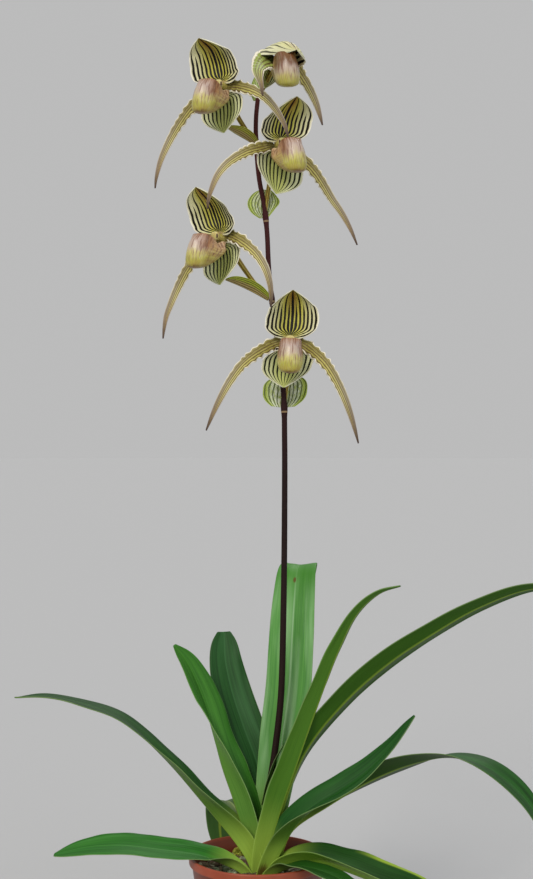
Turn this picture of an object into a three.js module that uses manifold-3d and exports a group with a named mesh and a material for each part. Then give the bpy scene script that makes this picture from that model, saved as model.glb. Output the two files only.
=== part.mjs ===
// A potted slipper orchid: a plastic pot of bark mix, twelve strap leaves and a scape with five flowers.
// Millimetres, +Z up, origin at the middle of the pot's underside, and the plant is looked at along +Y.
import * as THREE from "three";
import { mergeVertices } from "three/addons/utils/BufferGeometryUtils.js";
import Module from "manifold-3d";

const wasm = await Module();
wasm.setup();

// Driving sizes in millimetres.
const POT_HEIGHT = 125;
const POT_RIM_RADIUS = 70;
const POT_BASE_RADIUS = 50;
const POT_WALL = 2;
const POT_RIM_DEPTH = 9;
const POT_RIM_BEAD = 1.6;
const POT_FLOOR = 3;
const DRAIN_HOLES = 6;
const DRAIN_HOLE_RADIUS = 5;
const DRAIN_RING_RADIUS = 33;
const MIX_LEVEL = 107;
const BARK_CHUNKS = 20;
const CLEARANCE = 0.35;
const LEAF_THICKNESS = 1.3;
const SEPAL_THICKNESS = 0.9;
const PETAL_THICKNESS = 0.9;
const POUCH_WALL = 0.8;
const BRACT_THICKNESS = 0.9;
const SCAPE_FOOT_RADIUS = 3.8;
const SCAPE_TOP_RADIUS = 2.3;
const CROWN_AT = [7, -3, 0];
const MOSS_AT = [-20, 50];

// Colours read off the plant under soft light, with one roughness each.
const MATERIALS = {
  pot: { color: "#8a4630", roughness: 0.55 },
  mix: { color: "#5b5244", roughness: 0.95 },
  moss: { color: "#a3a83c", roughness: 0.95 },
  crown: { color: "#a9bd4c", roughness: 0.6 },
  leaf: { color: "#3f7a2a", roughness: 0.35 },
  leafDark: { color: "#2c6330", roughness: 0.35 },
  leafPale: { color: "#5f9a35", roughness: 0.38 },
  scape: { color: "#3b211f", roughness: 0.7 },
  sepal: { color: "#c6ca78", roughness: 0.55 },
  petal: { color: "#9a9360", roughness: 0.6 },
  pouch: { color: "#b09483", roughness: 0.5 },
  column: { color: "#c9bd72", roughness: 0.55 },
  ovary: { color: "#8b8a45", roughness: 0.65 },
  bract: { color: "#a9bb62", roughness: 0.6 },
};

// A repeatable stream of numbers from 0 to 1, so the bark lies the same way each time.
function seeded(seed) {
  let state = seed;
  return () => {
    state = (state * 1664525 + 1013904223) % 4294967296;
    return state / 4294967296;
  };
}

// A smooth curve through pairs of place and value.
function profile(knots, t) {
  let k = 0;
  while (k < knots.length - 2 && t > knots[k + 1][0]) k += 1;
  const slope = (i) => (knots[i + 1][1] - knots[i][1]) / (knots[i + 1][0] - knots[i][0]);
  const here = slope(k);
  const first = k > 0 ? (slope(k - 1) + here) / 2 : here;
  const last = k + 2 < knots.length ? (here + slope(k + 1)) / 2 : here;
  const span = knots[k + 1][0] - knots[k][0];
  const s = Math.min(1, Math.max(0, (t - knots[k][0]) / span));
  const a = 2 * s ** 3 - 3 * s ** 2 + 1;
  const b = s ** 3 - 2 * s ** 2 + s;
  const c = 3 * s ** 2 - 2 * s ** 3;
  const d = s ** 3 - s ** 2;
  return a * knots[k][1] + b * span * first + c * knots[k + 1][1] + d * span * last;
}

// A closed solid from points and the corner numbers of its triangles.
function solidOf(points, corners) {
  const vertProperties = new Float32Array(points.length * 3);
  points.forEach((p, i) => vertProperties.set([p.x, p.y, p.z], i * 3));
  const triVerts = new Uint32Array(corners);
  return new wasm.Manifold(new wasm.Mesh({ numProp: 3, vertProperties, triVerts }));
}

// The surface direction at one point of a grid.
function gridNormal(grid, i, j) {
  const down = grid[Math.max(0, i - 1)][j];
  const up = grid[Math.min(grid.length - 1, i + 1)][j];
  const left = grid[i][Math.max(0, j - 1)];
  const right = grid[i][Math.min(grid[0].length - 1, j + 1)];
  const across = new THREE.Vector3().subVectors(right, left);
  const along = new THREE.Vector3().subVectors(up, down);
  return across.cross(along).normalize();
}

// A thin closed sheet round a grid of points: both faces carry the same triangles and the rim joins them.
function sheet(grid, thickness) {
  const rows = grid.length;
  const cols = grid[0].length;
  const points = [];
  for (const side of [1, -1])
    for (let i = 0; i < rows; i++)
      for (let j = 0; j < cols; j++)
        points.push(gridNormal(grid, i, j).multiplyScalar((side * thickness) / 2).add(grid[i][j]));
  const under = rows * cols;
  const at = (i, j) => i * cols + j;
  const corners = [];
  for (let i = 0; i < rows - 1; i++)
    for (let j = 0; j < cols - 1; j++) {
      const [a, b, c, d] = [at(i, j), at(i, j + 1), at(i + 1, j + 1), at(i + 1, j)];
      const mirrored = j < (cols - 1) / 2;
      const pair = mirrored ? [a, b, c, a, c, d] : [a, b, d, b, c, d];
      corners.push(...pair);
      corners.push(...pair.map((v) => v + under).reverse());
    }
  const rim = [];
  for (let j = 0; j < cols - 1; j++) rim.push(at(0, j));
  for (let i = 0; i < rows - 1; i++) rim.push(at(i, cols - 1));
  for (let j = cols - 1; j > 0; j--) rim.push(at(rows - 1, j));
  for (let i = rows - 1; i > 0; i--) rim.push(at(i, 0));
  rim.forEach((p, k) => {
    const q = rim[(k + 1) % rim.length];
    corners.push(q, p, p + under, q, p + under, q + under);
  });
  return solidOf(points, corners);
}

// A closed solid through rings of equal point count, from the first ring to the last, each end closed flat.
function ringStack(rings) {
  const count = rings[0].length;
  const points = rings.flat();
  const corners = [];
  for (let i = 0; i < rings.length - 1; i++)
    for (let j = 0; j < count; j++) {
      const n = (j + 1) % count;
      const [a, b] = [i * count + j, i * count + n];
      const [c, d] = [a + count, b + count];
      corners.push(a, b, d, a, d, c);
    }
  for (const [ring, start] of [[rings[0], 0], [rings[rings.length - 1], (rings.length - 1) * count]]) {
    const middle = new THREE.Vector3();
    ring.forEach((p) => middle.addScaledVector(p, 1 / count));
    const centre = points.push(middle) - 1;
    for (let j = 0; j < count; j++) {
      const n = (j + 1) % count;
      if (start === 0) corners.push(centre, n, j);
      else corners.push(centre, start + j, start + n);
    }
  }
  return solidOf(points, corners);
}

// A round stem along a curve, with its radius given by the share of the length.
function tube(controls, radiusAt, rings, sides, grow) {
  const curve = curveThrough(controls);
  const frames = curve.computeFrenetFrames(rings, false);
  const stack = [];
  for (let i = 0; i <= rings; i++) {
    const centre = beyond(curve, i / rings, grow);
    const radius = radiusAt(i / rings) + grow;
    const ring = [];
    for (let j = 0; j < sides; j++) {
      const turn = (2 * Math.PI * j) / sides;
      const point = centre.clone().addScaledVector(frames.normals[i], radius * Math.cos(turn));
      ring.push(point.addScaledVector(frames.binormals[i], radius * Math.sin(turn)));
    }
    stack.push(ring);
  }
  return ringStack(stack);
}

function curveThrough(controls) {
  const points = controls.map((p) => new THREE.Vector3(...p));
  return new THREE.CatmullRomCurve3(points, false, "centripetal");
}

// A point along a curve, pushed out past either end by the clearance.
function beyond(curve, t, grow) {
  const push = t === 0 ? -grow : t === 1 ? grow : 0;
  return curve.getPointAt(t).addScaledVector(curve.getTangentAt(t), push);
}

// A solid of revolution about the upright axis from pairs of radius and height, listed going up the outside.
function turned(outline, sides) {
  const rings = outline.map(([radius, height]) => {
    const ring = [];
    for (let j = 0; j < sides; j++) {
      const turn = (2 * Math.PI * j) / sides;
      ring.push(new THREE.Vector3(radius * Math.cos(turn), radius * Math.sin(turn), height));
    }
    return ring;
  });
  return ringStack(rings);
}

// A leaf blade: its middle line, half widths, how far the halves fold up, and how far the blade rolls.
function leafGrid({ line, width, fold, roll, rows = 12 }, grow) {
  const curve = curveThrough(line);
  const heading = new THREE.Vector3().subVectors(curve.getPoint(1), curve.getPoint(0)).setZ(0).normalize();
  const level = new THREE.Vector3(-heading.y, heading.x, 0);
  const grid = [];
  for (let i = 0; i <= rows; i++) {
    const t = i / rows;
    const tangent = curve.getTangentAt(t);
    const side = level.clone().addScaledVector(tangent, -level.dot(tangent)).normalize();
    side.applyAxisAngle(tangent, THREE.MathUtils.degToRad(profile(roll, t)));
    const face = new THREE.Vector3().crossVectors(tangent, side);
    const half = profile(width, t) + grow;
    const angle = THREE.MathUtils.degToRad(profile(fold, t));
    const row = [];
    for (const u of [1, 0.5, 0, -0.5, -1]) {
      const flatten = angle * (1 - 0.25 * Math.abs(u));
      const point = beyond(curve, t, grow).addScaledVector(side, half * u * Math.cos(flatten));
      row.push(point.addScaledVector(face, half * Math.abs(u) * Math.sin(flatten)));
    }
    grid.push(row);
  }
  return grid;
}

// The leaves, from points placed by hand up each midrib. Width, fold and roll go by the share of length.
const LEAVES = {
  leaf_right_upright: {
    line: [[6, -12, 99], [11, -14, 128], [23, -16, 171], [40, -24, 223], [60, -33, 283], [80, -41, 338],
      [98, -47, 375], [119, -51, 395], [140, -53, 402]],
    width: [[0, 13], [0.12, 18], [0.35, 20.5], [0.6, 17], [0.8, 12], [0.93, 6.5], [1, 1.6]],
    fold: [[0, 60], [0.2, 48], [0.5, 34], [0.8, 24], [1, 15]],
    roll: [[0, 0], [0.3, -8], [0.7, -16], [1, -16]],
    material: "leafPale",
  },
  leaf_left_upright: {
    line: [[-4, -1, 99], [-8, -1, 118], [-14, 0, 141], [-26, 2, 179], [-37, 6, 210], [-45, 11, 239],
      [-53, 15, 268], [-63, 19, 294], [-74, 23, 316], [-87, 25, 333]],
    width: [[0, 11], [0.15, 18], [0.4, 22], [0.65, 21.5], [0.85, 16], [0.95, 9], [1, 2]],
    fold: [[0, 62], [0.2, 50], [0.5, 42], [0.8, 30], [1, 18]],
    roll: [[0, 0], [0.4, -6], [0.7, -18], [1, -32]],
    material: "leaf",
  },
  leaf_left_arching: {
    line: [[-5, -7, 99], [-10, -8, 117], [-22, -8, 136], [-55, -8, 177], [-96, -8, 225], [-137, -6, 262],
      [-179, -4, 278], [-216, -2, 285], [-247, 0, 283]],
    width: [[0, 13], [0.12, 19], [0.35, 21], [0.65, 20], [0.85, 13], [0.96, 6], [1, 1.8]],
    fold: [[0, 64], [0.15, 52], [0.35, 32], [0.6, 10], [1, 6]],
    roll: [[0, 0], [1, 0]],
    material: "leaf",
  },
  leaf_right_short: {
    line: [[11, -17, 99], [16, -20, 116], [26, -22, 137], [40, -28, 163], [60, -32, 182], [85, -34, 198],
      [111, -34, 217], [135, -32, 242], [156, -30, 271]],
    width: [[0, 14], [0.15, 17], [0.4, 20], [0.65, 17.5], [0.85, 11], [0.95, 6], [1, 1.8]],
    fold: [[0, 62], [0.2, 50], [0.5, 33], [0.8, 33], [1, 20]],
    roll: [[0, 0], [0.25, 14], [0.5, 27], [1, 20]],
    material: "leafDark",
  },
  leaf_left_low: {
    line: [[-8, -14, 99], [-14, -16, 107], [-22, -17, 113], [-34, -18, 119], [-58, -20, 128.5],
      [-98, -22, 135],
      [-137, -24, 140], [-172, -24, 138], [-204, -22, 130]],
    width: [[0, 9], [0.12, 14], [0.3, 18], [0.55, 19], [0.8, 16.5], [0.94, 9], [1, 2.5]],
    fold: [[0, 60], [0.15, 45], [0.35, 20], [0.7, 10], [1, 6]],
    roll: [[0, 0], [0.25, -12], [0.6, -18], [1, -16]],
    material: "leaf",
  },
  leaf_right_low: {
    line: [[14, -22, 100], [19, -24, 109], [27, -27, 118], [42, -32, 124.5], [61, -38, 125.5],
      [85, -49, 122], [114, -62, 115], [150, -75, 108], [179, -84, 97], [202, -91, 81]],
    width: [[0, 10], [0.09, 18], [0.3, 25], [0.6, 25], [0.82, 18], [0.94, 9], [1, 2]],
    fold: [[0, 64], [0.15, 64], [0.35, 59], [0.6, 51], [1, 30]],
    roll: [[0, 0], [0.2, 2], [0.6, 6], [1, 8]],
    material: "leaf",
  },
  leaf_front_low: {
    line: [[6, -28, 99], [15, -34, 112], [28, -42, 122], [43, -55, 128.5], [60, -69, 129], [77, -83, 126],
      [95, -96, 118], [113, -108, 103]],
    width: [[0, 8], [0.15, 13], [0.4, 17], [0.7, 16], [0.9, 9], [1, 2]],
    fold: [[0, 55], [0.2, 42], [0.4, 13], [1, 8]],
    roll: [[0, 0], [0.2, -10], [0.4, -6], [1, -4]],
    material: "leafPale",
  },
  leaf_right_arching: {
    line: [[18, -3, 99], [24, -4, 122], [34, -6, 148], [70, -10, 174], [112, -18, 201], [153, -32, 223],
      [188, -48, 233.5], [217, -60, 229], [240, -70, 216], [259, -78, 197], [273, -84, 172],
      [283, -88, 144]],
    width: [[0, 9], [0.1, 15], [0.3, 20], [0.6, 22.5], [0.82, 18.5], [0.94, 10], [1, 2]],
    fold: [[0, 60], [0.15, 48], [0.35, 28], [0.6, 14], [1, 8]],
    roll: [[0, 0], [0.2, -22], [0.45, -30], [0.62, -10], [0.75, 8], [1, 12]],
    material: "leafDark",
    rows: 14,
  },
  leaf_right_long: {
    line: [[15, 2, 99], [18, 0, 129], [25, -4, 168], [48, -14, 231], [87, -28, 284], [129, -44, 325],
      [170, -60, 356], [211, -76, 383], [260, -96, 404], [295, -108, 403], [324, -118, 391]],
    width: [[0, 11], [0.1, 16], [0.3, 18], [0.55, 17.5], [0.75, 13.5], [0.9, 8], [1, 2]],
    fold: [[0, 60], [0.15, 46], [0.4, 30], [0.7, 20], [1, 10]],
    roll: [[0, 0], [0.2, -22], [0.6, -30], [1, -26]],
    material: "leaf",
    rows: 14,
  },
  leaf_back_upright: {
    line: [[9, 8, 99], [12, 10, 130], [18, 13, 186], [25, 17, 237], [32, 21, 287], [35, 29, 333],
      [38, 43, 379], [41, 62, 405], [45, 85, 410], [48, 112, 395], [51, 132, 364]],
    width: [[0, 10], [0.1, 17], [0.3, 23], [0.55, 25], [0.8, 20], [0.94, 11], [1, 2.5]],
    fold: [[0, 58], [0.12, 44], [0.3, 22], [0.6, 12], [1, 8]],
    roll: [[0, 0], [1, 0]],
    material: "leafPale",
    rows: 14,
  },
  leaf_back_left_upright: {
    line: [[0, 9, 99], [2, 14, 130], [4, 20, 174], [-1, 28, 208], [-16, 40, 247], [-28, 52, 281],
      [-35, 62, 311], [-37, 73, 340]],
    width: [[0, 9], [0.15, 16], [0.45, 21], [0.7, 21], [0.88, 17.5], [0.96, 13], [1, 7]],
    fold: [[0, 60], [0.2, 44], [0.5, 22], [1, 12]],
    roll: [[0, 0], [0.3, -16], [1, -24]],
    material: "leafDark",
  },
  leaf_back_low: {
    line: [[-2, 12, 99], [-4, 20, 125], [-16, 36, 148], [-28, 58, 160], [-38, 84, 155], [-42, 102, 140],
      [-42, 113, 112], [-37, 118, 84]],
    width: [[0, 8], [0.15, 12], [0.4, 17], [0.7, 16], [0.9, 10], [1, 3]],
    fold: [[0, 56], [0.2, 38], [0.5, 16], [1, 10]],
    roll: [[0, 0], [1, 0]],
    material: "leaf",
  },
};

// The scape leans left as it rises, and each joint where a flower leaves it is a little swollen.
const SCAPE_LINE = [[8, -1, 99], [10, 0, 179], [17, 0, 228], [23, 0, 281], [26, 0, 382], [27, 0, 484],
  [27, 1, 544],
  [26, 3, 590], [21, 5, 634], [15, 6, 679], [11, 6, 718], [9, 5, 758], [6, 4, 784], [1, 3, 811],
  [-2, 2, 848],
  [-2, 2, 872], [0, 2, 893]];
const SCAPE_JOINTS = [0.6, 0.742, 0.845, 0.94];

function scape(grow) {
  const radiusAt = (t) => {
    const swell = SCAPE_JOINTS.reduce((sum, at) => sum + 0.9 * Math.exp(-(((t - at) / 0.006) ** 2)), 0);
    return THREE.MathUtils.lerp(SCAPE_FOOT_RADIUS, SCAPE_TOP_RADIUS, t ** 0.8) + swell;
  };
  return tube(SCAPE_LINE, radiusAt, 34, 7, grow);
}

// A small dry sheath that wraps the foot of the scape.
const SHEATH = {
  line: [[6, -6.5, 176], [11, -7.5, 198], [18, -8, 220], [26, -9, 238]],
  width: [[0, 5], [0.4, 6.5], [0.8, 4.5], [1, 1]],
  fold: [[0, 40], [1, 25]],
  roll: [[0, 0], [1, 0]],
  material: "leafPale",
  rows: 4,
};

// A cupped sepal: a midline, the direction across it, its half widths, and how far its margins curl forward.
function sepalGrid({ line, across, size, cup, drop }, half, steps, cols, grow) {
  const curve = curveThrough(line);
  const wide = new THREE.Vector3(...across).normalize();
  return steps.map((t) => {
    const tangent = curve.getTangentAt(t);
    const side = wide.clone().addScaledVector(tangent, -0.2 * wide.dot(tangent)).normalize();
    const front = new THREE.Vector3().crossVectors(side, tangent).normalize();
    const w = profile(half, t) * size;
    const row = [];
    for (let j = 0; j <= cols; j++) {
      const u = 1 - (2 * j) / cols;
      const point = beyond(curve, t, grow).addScaledVector(side, u * (w + grow));
      point.addScaledVector(front, cup * u * u * (w / size));
      row.push(point.addScaledVector(tangent, -drop * u * u * (1 - t) ** 3 * Math.min(1, w / 9)));
    }
    return row;
  });
}

// The dorsal sepal stands over the pouch like a hood with an onion outline.
const DORSAL_HALF = [[0, 0.12], [0.03, 0.55], [0.09, 0.88], [0.22, 1], [0.45, 0.98], [0.68, 0.8],
  [0.81, 0.63], [0.89, 0.47], [0.95, 0.27], [1, 0.03]];
const DORSAL_STEPS = [0, 0.04, 0.12, 0.24, 0.42, 0.6, 0.77, 0.91, 1];

// The two lower sepals are joined in one blade that hangs behind the pouch.
const SYNSEPAL_HALF = [[0, 0.16], [0.1, 0.56], [0.25, 0.88], [0.42, 1], [0.62, 0.93], [0.8, 0.66],
  [0.93, 0.3], [1, 0.04]];
const SYNSEPAL_STEPS = [0, 0.1, 0.22, 0.38, 0.56, 0.74, 0.9, 1];

// A narrow petal sweeps out and down. Its near half is waved along both edges and its far half is twisted.
function petalGrid(line, twist, grow) {
  const curve = curveThrough(line);
  const steps = [];
  for (let i = 0; i < 17; i++) steps.push((0.56 * i) / 16);
  for (const t of [0.62, 0.69, 0.76, 0.83, 0.9, 0.96, 1]) steps.push(t);
  const half = [[0, 3.2], [0.07, 5.6], [0.18, 6.1], [0.4, 5.2], [0.7, 3.9], [0.9, 2.2], [1, 0.8]];
  const wave = [[0, 0.3], [0.08, 1.1], [0.35, 1], [0.56, 0.4], [0.62, 0], [1, 0]];
  return steps.map((t, i) => {
    const tangent = curve.getTangentAt(t);
    const side = new THREE.Vector3(0, -1, 0).cross(tangent).normalize();
    side.applyAxisAngle(tangent, THREE.MathUtils.degToRad(profile(twist, t)));
    const face = new THREE.Vector3().crossVectors(tangent, side);
    const swing = (i % 2 ? 1 : -1) * profile(wave, t);
    const w = profile(half, t) + grow;
    const middle = beyond(curve, t, grow);
    return [1, 0, -1].map((u) => {
      const reach = u * (w + 0.35 * swing * u);
      return middle.clone().addScaledVector(side, reach).addScaledVector(face, swing * u - 0.12 * w * u * u);
    });
  });
}

// The rim of the pouch's mouth, by the angle from the middle of the front to the middle of the back.
// Each side dips in a notch, and a lobe stands up behind it.
const RIM_ACROSS = [[0, 0], [40, 7], [65, 9.6], [90, 10], [112, 9.2], [130, 10.2], [148, 10.8],
  [165, 7], [180, 0]];
const RIM_DEPTH = [[0, -33], [40, -31.5], [65, -27], [90, -20], [112, -14], [130, -8.5], [148, -3.5],
  [180, -3]];
const RIM_HEIGHT = [[0, 0.8], [40, 0.8], [65, 0], [90, -3.5], [112, -9], [130, -6.8], [148, -4.6],
  [180, -4.2]];
const MOUTH_MIDDLE = new THREE.Vector3(0, -19, 0);

// The rings from the rim down to the blunt toe. Each follows the rim less, and the back is squarer.
const POUCH_RINGS = [
  { z: -4.5, y: -22, half: 11.2, front: 16.8, back: 20, follow: 0.75, lobe: 0.4 },
  { z: -11, y: -24.5, half: 12.4, front: 17.3, back: 25.5, follow: 0.4, lobe: 0.16 },
  { z: -19, y: -28, half: 12.6, front: 15.8, back: 23.5, follow: 0.05, lobe: 0 },
  { z: -26.5, y: -31.5, half: 11.8, front: 12.5, back: 15.5, follow: 0, lobe: 0 },
  { z: -31.5, y: -34, half: 9.2, front: 8.5, back: 8.5, follow: 0, lobe: 0 },
  { z: -33.5, y: -35, half: 5, front: 4.5, back: 4.5, follow: 0, lobe: 0 },
];

function pouch(grow) {
  const sides = 12;
  const turns = [...Array(sides).keys()].map((j) => (2 * Math.PI * j) / sides);
  const fromFront = (turn) => Math.abs(((THREE.MathUtils.radToDeg(turn) + 270) % 360) - 180);
  const rim = (inset) => turns.map((turn) => {
    const angle = fromFront(turn);
    const across = profile(RIM_ACROSS, angle) * Math.sign(Math.round(1e6 * Math.cos(turn)));
    const point = new THREE.Vector3(across, profile(RIM_DEPTH, angle), profile(RIM_HEIGHT, angle) + grow);
    const outward = point.clone().sub(MOUTH_MIDDLE).setZ(0).normalize();
    return point.addScaledVector(outward, -inset);
  });
  const ringAt = ({ z, y, half, front, back, follow, lobe }, inset, push) => turns.map((turn) => {
    const behind = Math.sin(turn) > 0;
    const power = behind ? 0.65 : 1;
    const across = Math.sign(Math.cos(turn)) * Math.abs(Math.cos(turn)) ** power;
    const along = Math.sign(Math.sin(turn)) * Math.abs(Math.sin(turn)) ** power;
    const angle = fromFront(turn);
    const spread = 1 + lobe * Math.exp(-(((angle - 145) / 18) ** 2));
    const reach = (behind ? back : front) - inset;
    const height = z + follow * (profile(RIM_HEIGHT, angle) - 0.8) + push;
    return new THREE.Vector3((half * spread - inset) * across, y + reach * along, height);
  });
  const last = POUCH_RINGS.length - 1;
  const body = (inset, push) => POUCH_RINGS.map((r, k) => ringAt(r, inset, k === last ? push : 0));
  const shell = (inset, push) => [rim(inset), ...body(inset, push)];
  const outside = shell(-grow, -grow).reverse();
  return ringStack(grow > 0 ? outside : [...outside, ...shell(POUCH_WALL, POUCH_WALL)]);
}

// The column in the mouth of the pouch: a hub that the blades spring from, then a neck with a round shield.
function column(grow) {
  const rings = [
    { y: 2.5, r: 3.4, z: 0 },
    { y: -1.5, r: 4.3, z: 0 },
    { y: -4.5, r: 3.4, z: 0.5 },
    { y: -6.5, r: 4.6, z: 1 },
    { y: -9, r: 5.2, z: 1 },
    { y: -11, r: 3.6, z: 0.8 },
  ].map(({ y, r, z }) => {
    const ring = [];
    for (let j = 0; j < 8; j++) {
      const turn = (2 * Math.PI * j) / 8;
      const radius = r + grow;
      ring.push(new THREE.Vector3(radius * Math.cos(turn), y, z + radius * Math.sin(turn)));
    }
    return ring;
  });
  return ringStack(rings);
}

// Each flower: its centre, how it turns, nods and rolls, its blades, and the stalk that carries it.
const FLOWERS = {
  bloom_1: {
    centre: [32, -18, 643],
    turn: { yaw: 1, nod: 0, roll: 2 },
    dorsal: { line: [[32, -17, 647], [34, -13, 659], [35, -11, 672], [35, -15, 685], [35, -26, 694]],
      across: [1, 0, 0], size: 26.5, cup: 15, drop: 5 },
    synsepal: { line: [[32, -17, 637.5], [31, -13, 629], [29, -12, 619], [27, -14, 607], [26, -19, 597]],
      across: [1, 0, 0.04], size: 25.5, cup: -8, drop: 0 },
    left: [[27.5, -19, 643], [18, -20, 641.5], [10, -21, 638], [-3, -23, 630], [-15, -26, 620],
      [-26, -26, 606],
      [-35, -24, 591], [-44, -20, 573], [-52, -14, 554]],
    right: [[37, -19, 643], [44, -20, 641], [52, -21, 636], [60, -23, 629], [68, -26, 620], [77, -26, 606],
      [85, -24, 590], [92, -20, 572], [97, -16, 556], [101, -12, 541]],
    ovary: [[27, 6, 583], [29, 8, 600], [31, 4, 620], [32, -7, 636], [32, -16, 642.8]],
    bract: { line: [[26, 6, 577], [28, 12, 588], [29, 15, 600], [29, 17, 611]],
      width: [[0, 13], [0.15, 20], [0.5, 24], [0.85, 20], [1, 10]], fold: 20, roll: 0 },
  },
  bloom_2: {
    centre: [-37, -16, 747],
    turn: { yaw: -43, nod: 0, roll: 2 },
    dorsal: { line: [[-38, -15, 751.5], [-40, -11, 760], [-45, -9, 770], [-51, -13, 782], [-62, -23, 797]],
      across: [0.92, -0.36, -0.06], size: 22.4, cup: 14, drop: 8 },
    synsepal: { line: [[-37, -14, 742], [-35, -10, 734], [-34, -9, 724], [-35, -11, 711], [-38, -16, 700]],
      across: [0.85, -0.3, 0.345], size: 21, cup: -8, drop: 0 },
    left: [[-41, -19, 746], [-50, -16, 741], [-62, -10, 730], [-71, -4, 718], [-77, -1, 708], [-83, 1, 696],
      [-88, 1, 684], [-93, 0, 670], [-95, -2, 658], [-96, -4, 647]],
    right: [[-33, -19, 749], [-28, -23, 749], [-19, -30, 744], [-8, -37, 735], [0, -42, 726], [7, -45, 714],
      [11, -46, 702], [13, -45, 690], [13, -43, 675]],
    ovary: [[12, 5.5, 689], [5, 4.5, 695], [-2, 3, 702], [-12, 0, 715], [-26, -5, 735],
      [-35.6, -14.5, 746.8]],
    bract: { line: [[10, 3, 686], [-4, -1, 696], [-18, -5, 704], [-32, -8, 711]],
      width: [[0, 7], [0.3, 13], [0.6, 13], [0.9, 6], [1, 1.5]], fold: 48, roll: 12 },
  },
  bloom_3: {
    centre: [21, -18, 840],
    turn: { yaw: 27, nod: 0, roll: -2 },
    dorsal: { line: [[22, -17, 844.5], [24.5, -13, 855], [27, -11, 867], [32, -15, 878], [39, -25, 887]],
      across: [0.93, 0.3, 0.05], size: 25.5, cup: 14, drop: 8 },
    synsepal: { line: [[21, -17, 835], [21, -13, 827], [20, -12, 816], [19, -14, 803], [18, -18, 791]],
      across: [0.88, 0.25, -0.36], size: 25.5, cup: -8, drop: 0 },
    left: [[16, -20, 840], [10, -22, 838], [1, -27, 835], [-8, -34, 831], [-19, -42, 824], [-29, -48, 816],
      [-38, -52, 805], [-44, -54, 792], [-48, -54, 779], [-49, -53, 770]],
    right: [[25, -17, 838], [31, -16, 835], [40, -13, 831], [49, -8, 824], [58, -4, 815], [66, 0, 804],
      [75, 4, 790], [85, 6, 776], [94, 7, 760], [101, 6, 743]],
    ovary: [[7, 4, 774], [9, 5, 790], [13, 3, 812], [18, -6, 832], [20.3, -16, 839.8]],
    bract: { line: [[6.5, 5, 770], [6, 11, 780], [7, 14, 791], [9, 15, 801]],
      width: [[0, 5], [0.2, 12], [0.55, 17.5], [0.85, 12], [1, 5]], fold: 22, roll: 0 },
  },
  bloom_4: {
    centre: [-35, -18, 898],
    turn: { yaw: -32, nod: 0, roll: 3 },
    dorsal: { line: [[-36, -17, 902.5], [-39, -13, 910], [-44, -11, 924], [-50, -15, 937], [-59, -25, 945]],
      across: [0.93, -0.3, -0.03], size: 24.4, cup: 14, drop: 9 },
    synsepal: { line: [[-36, -17, 893], [-35, -13, 884], [-34, -12, 874], [-34, -14, 862], [-34, -18, 852]],
      across: [0.93, -0.25, 0.25], size: 22.5, cup: -8, drop: 0 },
    left: [[-39, -18, 896], [-46, -15, 894], [-57, -11, 889], [-67, -6, 881], [-77, -2, 869], [-85, 0, 857],
      [-93, 1, 842], [-99, 0, 827], [-103, -2, 810], [-104, -4, 799]],
    right: [[-31, -20, 898], [-24, -24, 898], [-13, -32, 894], [-2, -40, 888], [7, -45, 881],
      [15, -48, 872],
      [22, -50, 861], [27, -50, 851], [30, -49, 840]],
    ovary: [[-4, 2, 847], [-10, 1, 856], [-20, -2, 871], [-29, -8, 888], [-33.9, -16.3, 897.8]],
    bract: { line: [[-2, 1, 843], [-13, -3, 849], [-23, -6, 855], [-33, -8, 861]],
      width: [[0, 6], [0.3, 12], [0.6, 12], [0.9, 5], [1, 1.5]], fold: 44, roll: 10 },
  },
  bloom_5: {
    centre: [22, -12, 930],
    turn: { yaw: 12, nod: 8, roll: -4 },
    dorsal: { line: [[22, -9, 934.5], [23, -13, 939], [27, -20, 941], [32, -31, 938], [39, -42, 928]],
      across: [0.98, 0, 0.03], size: 20.5, cup: 17.5, drop: 0 },
    synsepal: { line: [[18, -6, 925], [11, 0, 921], [7, 2, 912], [7, -4, 900]],
      across: [0.55, 0.75, 0.2], size: 19, cup: -6, drop: 0 },
    left: [[17, -14, 929], [10, -28, 922], [4, -46, 913], [1, -62, 903], [2, -76, 892], [4, -86, 881],
      [5, -90, 871]],
    right: [[27, -13, 928], [33, -12, 924], [39, -11, 919], [44, -8, 912], [50, -6, 903], [55, -4, 894],
      [59, -5, 884], [62, -6, 874], [65, -8, 862]],
    ovary: [[0, 2, 891], [4, 4, 900], [10, 4, 912], [16, 0, 923], [21.5, -9.8, 929.7]],
    bract: { line: [[0, 3, 889], [2, 9, 902], [4, 12, 915], [8, 12, 926]],
      width: [[0, 5], [0.3, 10], [0.6, 10], [0.9, 5], [1, 2]], fold: 40, roll: 0 },
  },
};

// The far half of each petal twists outward.
const PETAL_TWIST = { left: [[0, 0], [0.5, 8], [1, 40]], right: [[0, 0], [0.5, -8], [1, -40]] };

// The ribbed stalk behind each flower thickens towards it.
function ovaryRadius(t) {
  return 2 + 1.2 * t;
}

// Turns a flower's own frame into the plant's frame.
function placed(solid, flower) {
  const { yaw, nod, roll } = flower.turn;
  const rad = THREE.MathUtils.degToRad;
  const facing = new THREE.Euler(rad(nod), rad(roll), rad(yaw), "ZXY");
  const matrix = new THREE.Matrix4().makeRotationFromEuler(facing);
  matrix.setPosition(...flower.centre);
  return solid.transform(matrix.elements);
}

function bract({ line, width, fold, roll }, grow) {
  const blade = { line, width, fold: [[0, fold], [1, fold * 0.6]], roll: [[0, roll], [1, roll]], rows: 5 };
  return sheet(leafGrid(blade, grow), BRACT_THICKNESS + 2 * grow);
}

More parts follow.
